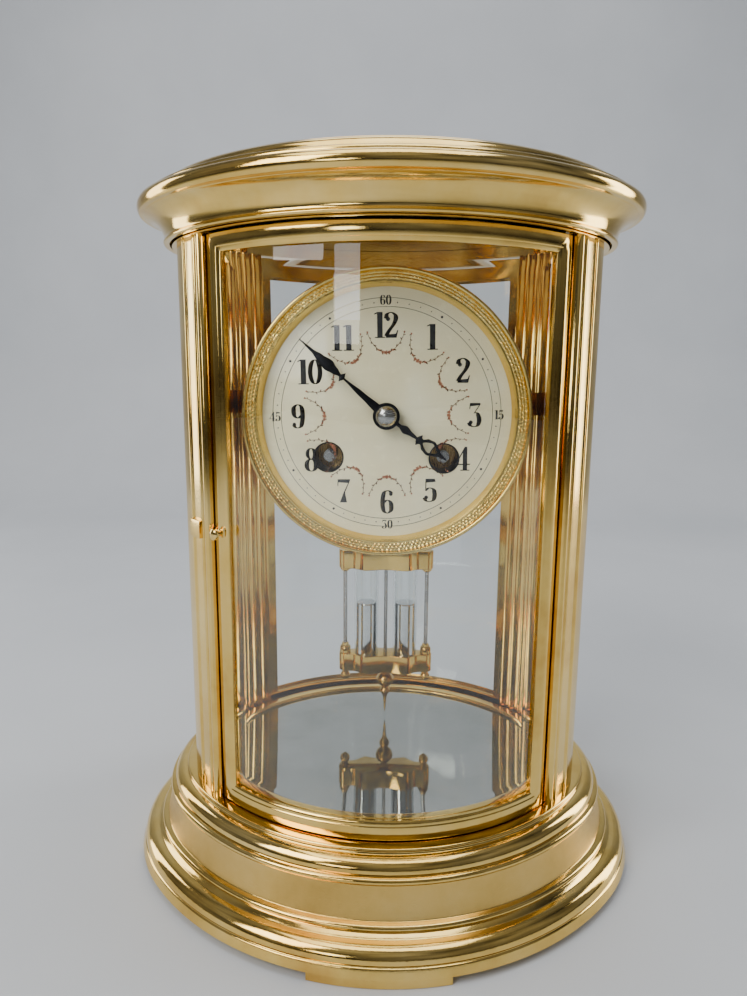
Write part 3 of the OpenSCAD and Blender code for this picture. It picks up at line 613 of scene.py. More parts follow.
def frame_ring(share, u):
    """Points round the door at a share (0 outside, 1 at the opening) of its members' widths."""
    steps = FRAME_STEPS
    t = DOOR_HALF - STILE * share
    low = DOOR_LOW + (OPEN_LOW - DOOR_LOW) * share
    high = DOOR_HIGH - (DOOR_HIGH - OPEN_HIGH) * share
    ring = [(*front_pt(-t + 2 * t * i / steps, u), low) for i in range(steps)]
    ring += [(*front_pt(t, u), low + (high - low) * i / steps) for i in range(steps)]
    ring += [(*front_pt(t - 2 * t * i / steps, u), high) for i in range(steps)]
    ring += [(*front_pt(-t, u), high - (high - low) * i / steps) for i in range(steps)]
    return ring


def door_frame_mesh():
    """A bowed door frame with a rebate for its glass."""
    section = [(0, DOOR_IN), (0, DOOR_U - 0.35), (0.02, DOOR_U - 0.1), (0.06, DOOR_U),
               (0.70, DOOR_U), (0.74, DOOR_U - 0.12), (0.77, DOOR_U - 0.35),
               (0.90, DOOR_U - 0.55), (0.97, DOOR_U - 0.75), (1.0, DOOR_U - 1.0),
               (1.0, REBATE_U), (0.82, REBATE_U), (0.82, DOOR_IN)]
    rings = [frame_ring(share, u) for share, u in section]
    n = len(rings[0])
    verts = [v for ring in rings for v in ring]
    faces = []
    for k in range(len(rings)):
        m = (k + 1) % len(rings)
        for i in range(n):
            j = (i + 1) % n
            faces.append((k * n + i, k * n + j, m * n + j, m * n + i))
    return verts, faces


def bevelled_glass_mesh(pt, t0, t1, z0, z1, outer, thick, deg_per_mm, steps):
    """A bowed plate whose outer face falls to a thinner edge within BEVEL_W of each side."""
    cuts = BEVEL_CUTS
    near = [BEVEL_W * i / cuts for i in range(cuts + 1)]
    width_t = BEVEL_W * deg_per_mm
    cols = [t0 + d * deg_per_mm for d in near]
    cols += [t0 + width_t + (t1 - t0 - 2 * width_t) * i / steps for i in range(1, steps)]
    cols += [t1 - d * deg_per_mm for d in reversed(near)]
    rows = [z0 + d for d in near]
    rows += [z0 + BEVEL_W + (z1 - z0 - 2 * BEVEL_W) * i / UPRIGHT_STEPS
             for i in range(1, UPRIGHT_STEPS)]
    rows += [z1 - d for d in reversed(near)]

    def outer_u(t, z):
        side = min((t - t0) / deg_per_mm, (t1 - t) / deg_per_mm, z - z0, z1 - z)
        return outer - BEVEL_DEEP * (1 - min(1.0, side / BEVEL_W))

    verts = [(*pt(t, outer_u(t, z)), z) for z in rows for t in cols]
    back = len(verts)
    verts += [(*pt(t, outer - thick), z) for z in rows for t in cols]
    nc, nr = len(cols), len(rows)
    faces = []
    for r in range(nr - 1):
        for c in range(nc - 1):
            a, b = r * nc + c, r * nc + c + 1
            d, e = a + nc, b + nc
            c2, r2 = nc - 2 - c, nr - 2 - r
            if r == c or (r2 == c2 and r2 < cuts):
                faces += [(a, b, e), (a, e, d)]
            elif (r == c2 and r < cuts) or (r2 == c and c < cuts):
                faces += [(a, b, d), (b, e, d)]
            else:
                faces.append((a, b, e, d))
            faces.append((back + a, back + d, back + e, back + b))
    edge = (list(range(nc)) + [r * nc + nc - 1 for r in range(1, nr)]
            + [(nr - 1) * nc + c for c in range(nc - 2, -1, -1)]
            + [r * nc for r in range(nr - 2, 0, -1)])
    for i, a in enumerate(edge):
        b = edge[(i + 1) % len(edge)]
        faces.append((a, back + a, back + b, b))
    return verts, faces


def put(mesh, place):
    verts, faces = mesh
    return [place @ Vector(v) for v in verts], faces


KNOB_PROFILE = [(0, 0), (1.6, 0), (1.6, 0.35), (0.9, 0.6), (0.85, 1.2), (1.4, 1.6), (1.95, 2.0),
                (2.1, 2.5), (1.95, 3.1), (1.4, 3.5), (0.7, 3.7), (0, 3.75)]
KNOB_T = -DOOR_HALF + 1.8
CATCH_H = 6.4
CATCH_FRONT_T = (46.8, 47.6, 48.4, 49.2, 50.0)
CATCH_END_T = tuple(-END_HALF + t for t in (0.8, 1.6, 2.4))


def catch_plan():
    """Plan of a spring catch round the front right post's outer corner."""
    out, back = POST_U + 1.5, POST_U - 0.6
    return ([front_pt(t, out) for t in CATCH_FRONT_T] + [end_pt(t, out) for t in CATCH_END_T]
            + [end_pt(t, back) for t in reversed(CATCH_END_T)]
            + [front_pt(t, back) for t in reversed(CATCH_FRONT_T)])


def make_doors():
    """Both doors with their panes, knobs and catches, then the two side panes."""
    inner_t = DOOR_HALF - STILE + 1.1
    deg_per_mm = degrees(1 / (REBATE_U + LONG_ADD))
    pane = bevelled_glass_mesh(front_pt, -inner_t, inner_t, OPEN_LOW - 1.4, OPEN_HIGH + 1.4,
                               REBATE_U - 0.1, GLASS_T, deg_per_mm, 40)
    for side, half in (("front", UP), ("back", BACK_HALF)):
        body = f"{side}_door"
        build(f"{side}_door_brass", *put(door_frame_mesh(), half), body, BRASS,
              replaces=[f"{side}_door_frame"])
        build(f"{side}_door_pane", *put(pane, half), body, "clear_glass", sharp=6,
              replaces=[f"{side}_door_glass"])
        low, high = box_mm(f"{side}_door_knob")
        centre = (low + high) / 2
        a = radians(KNOB_T)
        foot = half @ Vector((*front_pt(KNOB_T, DOOR_U), centre.z))
        outward = half.to_3x3() @ Vector((sin(a), -cos(a), 0))
        aim = outward.to_track_quat("Z", "Y").to_matrix().to_4x4()
        lathe(f"{side}_knob_brass", KNOB_PROFILE, Matrix.Translation(foot) @ aim, body,
              BRASS, [f"{side}_door_knob"], steps=40)
        flat_shape(f"{side}_catch_brass", [catch_plan()], CATCH_H,
                   half @ LEFT_HALF @ upright(z=centre.z - CATCH_H / 2), "case",
                   BRASS, 0.25, ["door_catches"] if side == "front" else ())
    side_out = LIP_IN - 0.1
    deg_per_mm = degrees(1 / (side_out - END_CENTRE))
    side_pane = bevelled_glass_mesh(end_pt, POST_TO + 0.3, -POST_TO - 0.3, DECK_Z + 0.1,
                                    POST_TOP - 0.1, side_out, GLASS_T, deg_per_mm, 24)
    build("side_pane_right", *side_pane, "case", "clear_glass", sharp=6,
          replaces=["side_glass_right"])
    build("side_pane_left", *put(side_pane, LEFT_HALF), "case", "clear_glass", sharp=6,
          replaces=["side_glass_left"])


# ---- dial
BEZEL_LOW, BEZEL_HIGH = box_mm("bezel")
DIAL_Z = (BEZEL_LOW.z + BEZEL_HIGH.z) / 2
BEZEL_R = (BEZEL_HIGH.x - BEZEL_LOW.x) / 2
BEZEL_FRONT = BEZEL_LOW.y
VIEW_R = 41.8
DIAL_FACE = box_mm("dial")[0].y
WIND_X, WIND_DROP, WIND_R = 19.7, 14.4, 5.2
DIAL_TURN = 1.0
BAND_IN, BAND_OUT = VIEW_R + 1.9, BEZEL_R - 1.5
GRAINS = 210  # engraved grains in each row round the bezel
GRAIN_ROWS = 3
GRAIN_CUTS = 6  # steps in each grain, both ways
GRAIN_FLOOR, GRAIN_HIGH = -0.96, 0.62
GRAIN_SEED, SWAG_SEED = 11, 7


def dial_place(y, turn=0.0):
    """The dial's axis at y: local Z points to the viewer, and turn is clockwise degrees."""
    face = Matrix(((1, 0, 0, 0), (0, 0, -1, y), (0, 1, 0, DIAL_Z), (0, 0, 0, 1)))
    return face @ Matrix.Rotation(radians(-turn), 4, "Z")


def ellipse(x, y, rx, ry, n):
    return [(x + rx * cos(2 * pi * i / n), y + ry * sin(2 * pi * i / n))
            for i in range(n)]


def circle(r, n, x=0.0, y=0.0):
    return ellipse(x, y, r, r, n)


def make_bezel():
    """Smooth inner slope and outer lip in one turning, and between them an engraved band."""
    inner = [(VIEW_R + 2.1, -6), (VIEW_R + 2.1, -4.3), (VIEW_R, -4.3), (VIEW_R + 0.1, -4.0),
             (VIEW_R + 0.7, -2.4), (VIEW_R + 1.1, -1.4), (VIEW_R + 1.4, -1.0), (BAND_IN, -1.0)]
    outer = ([(BAND_OUT, -1.0), (BAND_OUT + 0.1, -0.6)]
             + arc(BEZEL_R - 0.72, -0.7, 0.7, 165, 0, 12)
             + [(BEZEL_R, -5.4), (BEZEL_R - 1, -6), (VIEW_R + 2.1, -6)])
    lathe("bezel_rims", inner + outer, dial_place(BEZEL_FRONT), "case", "gilt_brass", ["bezel"],
          steps=180, sharp=40)
    steps = GRAINS * GRAIN_CUTS
    across = GRAIN_ROWS * GRAIN_CUTS
    dice = random.Random(GRAIN_SEED)
    grains = [[dice.uniform(0.35, 1.0) for _ in range(GRAINS)] for _ in range(GRAIN_ROWS)]
    drifts = [[dice.uniform(-0.7, 0.7) for _ in range(GRAINS)] for _ in range(GRAIN_ROWS)]
    verts = []
    place = dial_place(BEZEL_FRONT)
    for i in range(steps):
        a = 2 * pi * i / steps
        for k in range(across + 1):
            row = min(GRAIN_ROWS - 1, k // GRAIN_CUTS)
            across_row = sin(pi * (k / GRAIN_CUTS - row))
            along = (GRAINS * i / steps + 0.5 * row + 0.35 * across_row) % GRAINS
            cell = int(along) % GRAINS
            swell = sin(pi * (along - int(along)) + 0.5 * drifts[row][cell])
            h = GRAIN_FLOOR + GRAIN_HIGH * grains[row][cell] * max(0.0, swell * across_row)
            r = BAND_IN + (BAND_OUT - BAND_IN) * k / across
            verts.append(place @ Vector((*polar(r, a), h)))
    build("bezel_engraving", verts, turned_faces(steps, across + 1), "case", "gilt_brass",
          sharp=70)


# Digits are strokes of a broad pen in a cell one unit high. A ball ends a curl; a bar or block
# is a plain polygon.
THICK = 0.19
THIN = 0.035
PEN_SWELL = 2.2


def smooth_way(points, closed=False, steps=7):
    """A Catmull-Rom curve through the points."""
    pts = [Vector(p) for p in points]
    n = len(pts)
    out = []
    for i in range(n if closed else n - 1):
        near = [(i + k) % n if closed else max(0, min(n - 1, i + k)) for k in (-1, 0, 1, 2)]
        a, b, c, d = (pts[m] for m in near)
        for k in range(steps):
            s = k / steps
            out.append(0.5 * (2 * b + (c - a) * s + (2 * a - 5 * b + 4 * c - d) * s ** 2
                              + (3 * b - a - 3 * c + d) * s ** 3))
    if not closed:
        out.append(pts[-1])
    return out


def pen_stroke(points, closed=False, thick=THICK):
    """Quads of a stroke that is broad where it runs up and fine where it runs across."""
    way = smooth_way(points, closed)
    n = len(way)
    left, right = [], []
    for i, p in enumerate(way):
        before = way[i - 1] if closed or i else p
        after = way[(i + 1) % n] if closed or i < n - 1 else p
        d = (after - before).normalized()
        half = (THIN + (thick - THIN) * abs(d.y) ** PEN_SWELL) / 2
        side = Vector((-d.y, d.x)) * half
        left.append(p + side)
        right.append(p - side)
    quads = []
    for i in range(n if closed else n - 1):
        j = (i + 1) % n
        quads.append([left[i], right[i], right[j], left[j]])
    return quads


def ball(x, y, r=0.085):
    return [[Vector(p) for p in circle(r, 14, x, y)]]


def bar(*corners):
    return [[Vector(c) for c in corners]]


def block(x0, y0, x1, y1):
    return bar((x0, y0), (x1, y0), (x1, y1), (x0, y1))


SIX = (pen_stroke([(0.52, 0.84), (0.42, 0.95), (0.31, 0.975), (0.18, 0.87), (0.12, 0.5),
                   (0.16, 0.14), (0.31, 0.02), (0.46, 0.12), (0.49, 0.3), (0.45, 0.48),
                   (0.32, 0.57), (0.19, 0.48)]) + ball(0.47, 0.83, 0.075))
DIGITS = {
    "0": pen_stroke(ellipse(0.31, 0.5, 0.2, 0.475, 12), True),
    "1": block(0.2, 0, 0.42, 1) + block(0.1, 0, 0.52, 0.04)
         + bar((0.2, 1), (0.2, 0.94), (0.08, 0.9), (0.08, 0.94)),
    "2": pen_stroke([(0.08, 0.74), (0.13, 0.91), (0.29, 0.975), (0.44, 0.88), (0.47, 0.73),
                     (0.38, 0.52), (0.2, 0.28), (0.07, 0.06)]) + ball(0.16, 0.73)
         + bar((0.06, 0), (0.5, 0), (0.57, 0.3), (0.53, 0.3), (0.47, 0.16), (0.1, 0.13)),
    "3": bar((0.1, 0.99), (0.52, 0.99), (0.52, 0.9), (0.14, 0.86))
         + bar((0.5, 0.95), (0.54, 0.95), (0.3, 0.58), (0.26, 0.58))
         + bar((0.1, 0.99), (0.14, 0.99), (0.11, 0.74), (0.07, 0.74))
         + pen_stroke([(0.26, 0.58), (0.4, 0.56), (0.48, 0.3), (0.42, 0.08), (0.27, 0.02),
                       (0.13, 0.07), (0.07, 0.2)]) + ball(0.14, 0.2, 0.08),
    "4": bar((0.32, 0), (0.5, 0), (0.5, 1), (0.42, 1), (0.32, 0.84))
         + block(0.0, 0.24, 0.62, 0.29)
         + bar((0.0, 0.26), (0.05, 0.26), (0.46, 1), (0.4, 1))
         + block(0.22, 0, 0.6, 0.04),
    "5": bar((0.12, 0.99), (0.5, 0.99), (0.53, 0.86), (0.14, 0.83))
         + bar((0.11, 0.99), (0.15, 0.99), (0.14, 0.48), (0.1, 0.48))
         + pen_stroke([(0.11, 0.5), (0.27, 0.6), (0.44, 0.53), (0.49, 0.3), (0.43, 0.09),
                       (0.27, 0.02), (0.13, 0.07), (0.07, 0.2)]) + ball(0.14, 0.2, 0.08),
    "6": SIX,
    "7": bar((0.06, 0.99), (0.58, 0.99), (0.58, 0.95), (0.5, 0.83), (0.1, 0.86))
         + bar((0.06, 0.99), (0.1, 0.99), (0.08, 0.7), (0.05, 0.7))
         + bar((0.53, 0.9), (0.58, 0.95), (0.36, 0.42), (0.44, 0.0), (0.14, 0.0), (0.3, 0.42)),
    "8": pen_stroke(ellipse(0.3, 0.75, 0.15, 0.22, 12), True, 0.15)
         + pen_stroke(ellipse(0.3, 0.27, 0.19, 0.25, 12), True),
    "9": [[Vector((0.6 - p.x, 1.0 - p.y)) for p in reversed(quad)] for quad in SIX],
}
NARROW, WIDE = 0.48, 0.62  # step of a 1 and of other digits, in digit heights


def printed(polygons, place, thick):
    """Thin closed prisms standing on local Z = 0 for a list of flat polygons."""
    verts, faces = [], []
    for polygon in polygons:
        n = len(polygon)
        first = len(verts)
        verts += [place @ Vector((p[0], p[1], 0)) for p in polygon]
        verts += [place @ Vector((p[0], p[1], thick)) for p in polygon]
        faces.append(tuple(first + i for i in reversed(range(n))))
        faces.append(tuple(first + n + i for i in range(n)))
        for i in range(n):
            j = (i + 1) % n
            faces.append((first + i, first + j, first + n + j, first + n + i))
    return verts, faces


def figure(text, x, y, height):
    """The polygons of a number centred on x, y."""
    widths = [NARROW if c == "1" else WIDE for c in text]
    at = x - sum(widths) * height / 2
    out = []
    for c, width in zip(text, widths):
        for polygon in DIGITS[c]:
            out.append([(at + p[0] * height, y + (p[1] - 0.5) * height) for p in polygon])
        at += width * height
    return out


def ring_quads(r_in, r_out):
    """A printed ring as flat quads."""
    n = RING_STEPS
    inner, outer = circle(r_in, n), circle(r_out, n)
    return [[inner[i], inner[(i + 1) % n], outer[(i + 1) % n], outer[i]] for i in range(n)]


def leaf(x, y, long, wide, angle, n=8):
    """An ellipse of half sizes long and wide, turned by angle radians."""
    ca, sa = cos(angle), sin(angle)
    return [(x + lx * ca - ly * sa, y + lx * sa + ly * ca)
            for lx, ly in ellipse(0, 0, long, wide, n)]


# The garlands: lowest and highest radius, and half width in degrees
SWAG_LOW, SWAG_HIGH, SWAG_HALF = 20.9, 28.4, 12.6
SWAG_STEPS = 30
STEM_LONG, STEM_WIDE = 0.46, 0.1
# Place in degrees round the garland, and size, of each flower
FLOWERS = ((0, 0.6), (-13, 0.46), (13, 0.46), (-30, 0.34), (30, 0.34), (-88, 0.3), (88, 0.3))


def swag_pt(hour, turn):
    """A point of an hour's garland: turn runs from -90 to 90 degrees round its U shape."""
    a = radians(turn)
    r = SWAG_LOW + (SWAG_HIGH - SWAG_LOW) * (1 - cos(a))
    way = radians(90 - 30 * hour - SWAG_HALF * sin(a))
    return polar(r, way)


def swag_shapes():
    """Brown leaves and stems, and small pink flowers, of the twelve garlands."""
    dice = random.Random(SWAG_SEED)
    brown, pink = [], []
    for hour in range(12):
        for i in range(SWAG_STEPS):
            turn = 86 * (2 * i / (SWAG_STEPS - 1) - 1)
            x, y = swag_pt(hour, turn)
            x2, y2 = swag_pt(hour, turn + 3)
            way = atan2(y2 - y, x2 - x)
            brown.append(leaf(x, y, STEM_LONG, STEM_WIDE, way))
            if i % 2 == 0:
                near = cos(radians(turn))
                tilt = way + (0.8 if i % 4 else -0.8) + dice.uniform(-0.3, 0.3)
                size = 0.34 + 0.3 * near
                brown.append(leaf(x + 0.34 * cos(tilt), y + 0.34 * sin(tilt), size,
                                  size * 0.42, tilt))
        for turn, size in FLOWERS:
            x, y = swag_pt(hour, turn)
            for petal in range(5):
                a = 2 * pi * petal / 5
                pink.append(leaf(x + size * 0.7 * cos(a), y + size * 0.7 * sin(a),
                                 size * 0.55, size * 0.42, a))
    return brown, pink


# Radii and heights of the print, in millimetres
NUMERAL_R, NUMERAL_H = 29.7, 8.2
QUARTER_R, QUARTER_H = 37.6, 3.1
DOT_R = 36.9
TRACK_LINES = ((38.25, 38.4), (35.45, 35.6))
RING_STEPS = 180
ENAMEL_T = 1.5


def make_dial():
    """The enamel with its winding holes and sleeves, then everything printed on it."""
    holes = [circle(WIND_R, 48, s * WIND_X, -WIND_DROP) for s in (-1, 1)]
    flat_shape("enamel_dial", [circle(VIEW_R + 1.9, 160), circle(3, 40), *holes], ENAMEL_T,
               dial_place(DIAL_FACE + ENAMEL_T), "case", "enamel", 0.25, ["dial"], sharp=60)
    sleeves = [lathe_mesh([(WIND_R + 0.02, 0.1), (WIND_R + 0.02, -12.4), (WIND_R - 0.25, -12.4),
                           (WIND_R - 0.45, -0.6), (WIND_R - 0.25, 0.15), (WIND_R + 0.02, 0.1)],
                          dial_place(DIAL_FACE) @ upright(s * WIND_X, -WIND_DROP), 48)
               for s in (-1, 1)]
    build("winding_sleeves", *joined(sleeves), "case", "black_steel")
    face = dial_place(DIAL_FACE - 0.005, -DIAL_TURN)
    numerals = []
    for hour in range(1, 13):
        a = radians(90 - 30 * hour)
        numerals += figure(str(hour), *polar(NUMERAL_R, a), NUMERAL_H)
    track = [quad for line in TRACK_LINES for quad in ring_quads(*line)]
    for minute in range(60):
        a = radians(6 * minute)
        size = 0.42 if minute % 5 == 0 else 0.2
        if minute % 15:
            track.append(leaf(*polar(DOT_R, a), size, size, a, 10))
    for value, hour in ((60, 12), (15, 3), (30, 6), (45, 9)):
        a = radians(90 - 30 * hour)
        track += figure(str(value), *polar(QUARTER_R, a), QUARTER_H)
        for side in (-1, 1):
            b = a + side * radians(6)
            track.append(leaf(*polar(DOT_R, b), 0.3, 0.15, b))
    leaves, flowers = swag_shapes()
    for name, shapes, thick, mat in (("dial_numerals", numerals, 0.05, NUMERAL_BLACK),
                                     ("minute_track", track, 0.05, TRACK_BLACK),
                                     ("garland_leaves", leaves, 0.03, SWAG_BROWN),
                                     ("garland_flowers", flowers, 0.045, SWAG_PINK)):
        build(name, *printed(shapes, face, thick), "case", "enamel", mat, sharp=80)


# ---- hands
HAND_FACE = box_mm("minute_hand")[0].y
HOUR_FACE = box_mm("hour_hand")[0].y
MINUTE_TURN, HOUR_TURN = 311.0, 125.9
HAND_T = 0.7
HAND_BEVEL = 0.13
BLADE_STEPS = 10
HUB_STEPS = 40


def blade(knots, hub):
    """A closed outline along +Y from a round hub through (distance, half width) knots."""
    half = []
    for (y0, w0), (y1, w1) in zip(knots, knots[1:]):
        for k in range(BLADE_STEPS):
            s = k / BLADE_STEPS
            ease = s * s * (3 - 2 * s)
            half.append((w0 + (w1 - w0) * ease, y0 + (y1 - y0) * s))
    half.append((knots[-1][1], knots[-1][0]))
    start = degrees(asin(min(1.0, knots[0][1] / hub)))
    round_part = [(hub * sin(radians(a)), hub * cos(radians(a)))
                  for a in [start + (360 - 2 * start) * i / HUB_STEPS
                            for i in range(HUB_STEPS + 1)]]
    right = [p for p in half if p[1] > hub]
    return round_part + [(-x, y) for x, y in right] + [(x, y) for x, y in reversed(right)]


MINUTE_KNOTS = [(3.9, 1.45), (10, 1.0), (18.6, 0.36), (18.9, 1.0), (19.4, 1.75), (19.9, 1.0),
                (20.3, 0.5), (22.5, 1.2), (25.4, 1.95), (29, 1.25), (32.5, 0.5), (37.6, 0.14),
                (38, 0.02)]
HOUR_KNOTS = [(4.1, 0.7), (5.6, 0.6), (7.8, 1.35), (10.5, 0.7), (12.6, 0.45), (13.0, 1.2),
              (13.6, 2.0), (14.2, 1.2), (14.6, 1.0), (16.4, 2.3), (18.4, 2.7), (20.6, 1.7),
              (22.4, 0.7), (24.8, 0.3), (25.2, 0.03)]
HOUR_PIERCED = [(15.3, 0.0), (16.6, 1.1), (18.3, 1.7), (20.0, 1.0), (21.2, 0.0)]


def make_hands():
    """Both hands and the domed nut that holds them."""
    flat_shape("minute_hand_blade", [blade(MINUTE_KNOTS, 4.5), circle(2.0, 32)], HAND_T,
               dial_place(HAND_FACE + HAND_T, MINUTE_TURN), "minute_train", "black_steel",
               HAND_BEVEL, ["minute_hand"], sharp=50)
    inner = [(w, y) for y, w in HOUR_PIERCED] + [(-w, y) for y, w in HOUR_PIERCED[-2:0:-1]]
    inner = [tuple(p) for p in smooth_way(inner, True, 4)]
    flat_shape("hour_hand_blade", [blade(HOUR_KNOTS, 4.3), circle(2.75, 32), inner], HAND_T,
               dial_place(HOUR_FACE + HAND_T, HOUR_TURN), "hour_train", "black_steel",
               HAND_BEVEL, ["hour_hand"], sharp=50)
    dome = ([(1.5, 0), (3.45, 0), (3.45, 0.45)]
            + arc(0, -1.8, 4.1, 33, 84, 14) + [(0.0, 2.32)])
    lathe("hand_nut_dome", dome, dial_place(HAND_FACE - 0.02), "minute_train", "steel",
          ["hand_nut"], steps=64, sharp=40)


# ---- pendulum
BOB_Y = (box_mm("mercury")[0].y + box_mm("mercury")[1].y) / 2
JAR_X = 8.5
ROD_X = 17.9
LOWER_Z = 64.0
UPPER_Z = 111.0
PLATE_HALF = 4.0
PLATE_X = 20.64
PLATE_STEPS = 160
# Plan of the bob's plates: waved body, fine groove, falling neck and round ear
BODY_HALF, BODY_WAVE, BODY_TO = 5.6, 0.9, 10.0
GROOVE_TO = 10.2
NECK_HALF, NECK_FALL, NECK_LONG = 6.45, 3.2, 5.0
EAR_R, EAR_AT = 3.25, 17.4


def plate_half_width(x):
    """Half depth of the bob's scalloped plates at x."""
    a = abs(x)
    if a < BODY_TO:
        return BODY_HALF - BODY_WAVE * cos(pi * a / BODY_TO)
    if a < GROOVE_TO:
        return BODY_HALF
    if a < GROOVE_TO + NECK_LONG:
        s = (a - GROOVE_TO) / NECK_LONG
        return NECK_HALF - NECK_FALL * sin(pi * s / 2) ** 0.8
    return sqrt(max(0.0, EAR_R ** 2 - max(0.0, a - EAR_AT) ** 2))


def bob_outline():
    xs = [-PLATE_X + 2 * PLATE_X * i / PLATE_STEPS for i in range(PLATE_STEPS + 1)]
    front = [(x, -plate_half_width(x)) for x in xs]
    return front + [(x, plate_half_width(x)) for x in reversed(xs[1:-1])]


def drop_profile():
    """Turned drop below the lower plate: collar, urn, collar and long point."""
    shape = [(0, 0.2), (2.0, 0.2), (2.1, -0.5), (1.3, -1.1), (1.2, -1.6), (2.6, -2.4),
             (3.7, -3.8), (3.9, -5.0), (3.2, -6.6), (2.0, -7.8), (1.5, -8.4), (1.9, -9.0),
             (2.4, -9.8), (2.2, -10.8), (1.4, -12.0), (0.9, -13.2)]
    way = [(max(0.0, p.x), p.y) for p in smooth_way(shape, steps=4)]
    return way + [(0.75, -14.0), (0.55, -17.0), (0.25, -19.8), (0.0, -20.7)]


def on_bob(profile, steps, x=0.0, z=0.0):
    """A profile turned about an upright axis of the pendulum."""
    return lathe_mesh(profile, upright(x, BOB_Y, z), steps)


def make_bob():
    """The bob's two plates, its rods, and its turned collars and finials."""
    outline = bob_outline()
    for name, z in (("lower", LOWER_Z), ("upper", UPPER_Z)):
        flat_shape(f"bob_plate_{name}", [outline], 2 * PLATE_HALF,
                   upright(0, BOB_Y, z - PLATE_HALF), "pendulum", BRASS, 0.3,
                   ["bob_frame"] if name == "lower" else (), sharp=42)
    rods, brass = [], []
    for x in (-ROD_X, 0, ROD_X):
        radius = 0.9 if x else 0.8
        rods.append(on_bob([(0, LOWER_Z), (radius, LOWER_Z), (radius, UPPER_Z), (0, UPPER_Z)],
                           24, x))
    for x in (-ROD_X, ROD_X):
        collar = [(0, -1), (2.4, -1), (2.4, 2.4), (1.9, 3.1), (1.6, 3.2), (1.5, 4.2), (0.9, 4.4)]
        brass.append(on_bob(collar, 32, x, LOWER_Z + PLATE_HALF))
        under = [(0, 1), (2.1, 1), (2.1, -0.9), (1.5, -1.6), (0.9, -1.8)]
        brass.append(on_bob(under, 32, x, UPPER_Z - PLATE_HALF))
        ball_foot = [(0, 0.2), (1.7, 0.2), (1.7, -0.7), (1.2, -1.1), (2.0, -2.1), (2.3, -3.1),
                     (1.9, -4.2), (1.0, -4.9), (0.6, -5.3), (0.0, -5.6)]
        brass.append(on_bob(ball_foot, 32, x, LOWER_Z - PLATE_HALF))
    brass.append(on_bob(drop_profile(), 48, z=LOWER_Z - PLATE_HALF))
    top = [(0, 3), (2.6, 3), (2.6, 4.6), (1.9, 5.4), (1.7, 8.6), (1.0, 9.2), (0, 9.3)]
    brass.append(on_bob(top, 40, z=UPPER_Z))
    build("bob_rods", *joined(rods), "pendulum", "steel")
    build("bob_finials", *joined(brass), "pendulum", BRASS, sharp=40)


def make_jars():
    """The two glass jars and the mercury in them."""
    jar_low = LOWER_Z + PLATE_HALF - 2
    jar_h = UPPER_Z - PLATE_HALF + 2 - jar_low
    fill_h = box_mm("mercury")[1].z - jar_low
    jars, fills = [], []
    for x in (-JAR_X, JAR_X):
        jars.append(on_bob([(0, 0), (4.9, 0), (5.3, 0.4), (5.3, jar_h), (4.5, jar_h), (4.5, 1.6),
                            (4.2, 1.3), (0, 1.3)], 48, x, jar_low))
        fills.append(on_bob([(0, 1.35), (4.0, 1.35), (4.42, 1.8), (4.42, fill_h - 0.5),
                             (4.1, fill_h), (2.5, fill_h + 0.35), (0, fill_h + 0.5)],
                            48, x, jar_low))
    build("bob_jars", *joined(jars), "pendulum", "clear_glass", replaces=["mercury_jars"])
    build("bob_mercury", *joined(fills), "pendulum", "liquid_mercury", replaces=["mercury"])


# ---- bell
def make_bell():
    low, high = box_mm("bell")
    r = (high.x - low.x) / 2
    depth = high.y - low.y
    curve = [(2.2, depth), (6, depth - 0.15), (12, depth - 0.5), (18, depth - 1.3),
             (22.5, depth - 3.0), (25.4, depth - 5.6), (27, depth - 7.6), (r - 0.5, 0.5),
             (r, 0.0)]
    outer = [tuple(p) for p in smooth_way(curve, steps=5)]
    inner = [(max(2.2, x - 1.2), y - (1.3 if y > 1.4 else 0.0)) for x, y in reversed(outer)]
    turn = Matrix.Rotation(radians(-90), 4, "X")
    lathe("bell_cup", outer + inner + [outer[0]], Matrix.Translation((0, low.y, DIAL_Z)) @ turn,
          "case", "bell_metal", ["bell"], steps=96)


# ---- stage
def make_stage():
    """A plain pale floor that bends up into a backdrop."""
    mat, shader = new_material("floor", roughness=0.55)
    tint(mat, shader, noise(mat, 6, detail=4), (0.3, (0.55, 0.58, 0.62)),
         (0.7, (0.60, 0.63, 0.67)))
    section = ([(FLOOR_FROM, FLOOR_Z)]
               + arc(BACKDROP_AT - BACKDROP_BEND, BACKDROP_BEND + FLOOR_Z, BACKDROP_BEND, -90, 0,
                     24)
               + [(BACKDROP_AT, BACKDROP_TOP)])
    verts = [Vector((x, y, z)) * MM for x in (-FLOOR_SIDE, FLOOR_SIDE) for y, z in section]
    n = len(section)
    data = bpy.data.meshes.new("floor")
    data.from_pydata(verts, [], [(i, i + 1, n + i + 1, n + i) for i in range(n - 1)])
    data.polygons.foreach_set("use_smooth", [True] * len(data.polygons))
    data.materials.append(mat)
    new_object("floor", data)


LAMP_AIM = Vector((0, 0, 0.13))


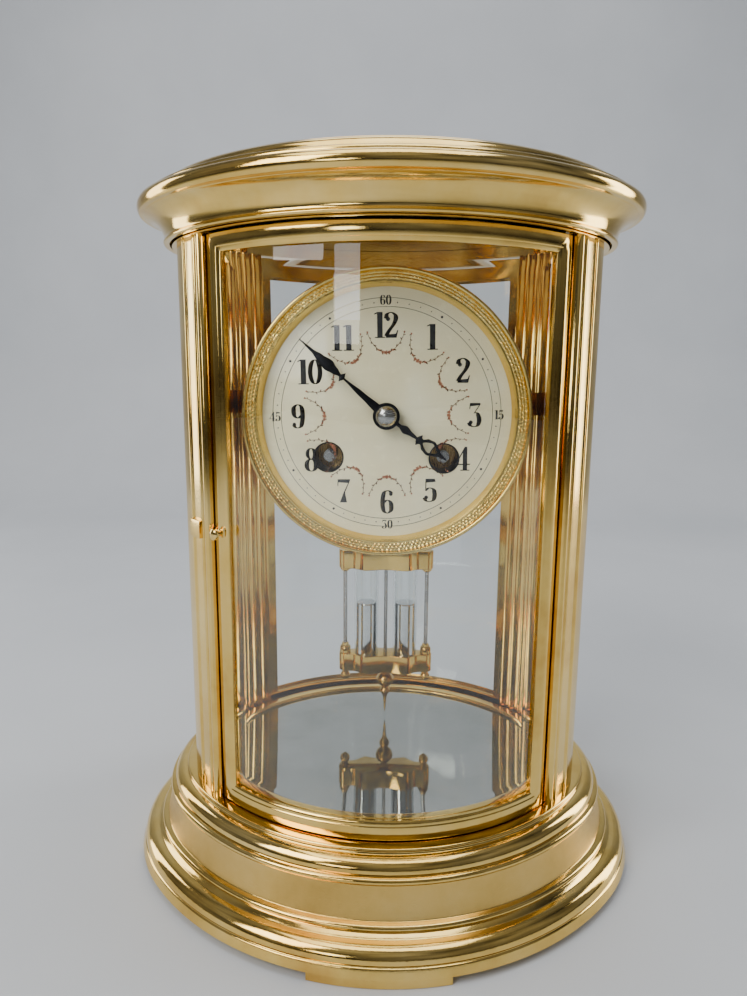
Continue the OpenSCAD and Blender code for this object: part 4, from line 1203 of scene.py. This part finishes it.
def add_light(name, at, size, power, colour):
    """A soft rectangular lamp, aimed at the clock."""
    data = bpy.data.lights.new(name, "AREA")
    data.shape = "RECTANGLE"
    data.size, data.size_y = size
    data.energy = power
    data.color = colour
    lamp = new_object(name, data)
    lamp.location = at
    lamp.rotation_euler = (LAMP_AIM - Vector(at)).to_track_quat("-Z", "Y").to_euler()


def make_room():
    """World light: a dim room, brighter overhead, uneven enough to draw bands in the brass."""
    world = bpy.data.worlds.new("world")
    world.use_nodes = True
    where = add_node(world, "TexCoord").outputs["Generated"]
    height = add_node(world, "SeparateXYZ", {0: where}).outputs["Z"]
    tone = ramp(world, height, [(0.0, (0.20, 0.20, 0.21)), (0.25, (0.40, 0.41, 0.44)),
                                (1.0, (0.80, 0.81, 0.84))])
    patches = add_node(world, "TexNoise", {"Vector": where, "Scale": 2.3, "Detail": 1.0})
    uneven = spread(world, patches.outputs["Fac"], 0.03, 0.54)
    back = world.node_tree.nodes["Background"]
    link(world, tone, back.inputs["Color"])
    link(world, uneven, back.inputs["Strength"])
    bpy.context.scene.world = world


# Each lamp's name, place and size in metres, power in watts and colour
LAMPS = (
    ("key", (-0.75, -0.75, 0.95), (0.6, 0.8), 11, (1.0, 0.96, 0.90)),
    ("window", (-0.40, -1.12, 0.37), (0.26, 0.20), 0.9, (0.97, 0.98, 1.0)),
    ("right_strip", (0.95, 0.22, 0.35), (0.3, 0.8), 5, (1.0, 0.98, 0.94)),
    ("left_strip", (-0.95, 0.30, 0.40), (0.25, 0.8), 3, (1.0, 0.98, 0.95)),
    ("overhead", (0, -0.15, 1.3), (1.0, 0.7), 6, (1, 1, 1)),
    ("rear", (0, 0.75, 1.25), (0.6, 0.5), 2, (1, 1, 1)),
)


# ---- put it together
make_camera()
make_stage()
make_room()
for lamp in LAMPS:
    add_light(*lamp)
for node_name, node_object in frame["nodes"].items():
    node_object.data.materials.clear()
    node_object.data.materials.append(MATERIALS[SLOT_OF[node_name]])
make_base()
make_top()
make_posts()
make_doors()
make_bezel()
make_dial()
make_hands()
make_bob()
make_jars()
make_bell()
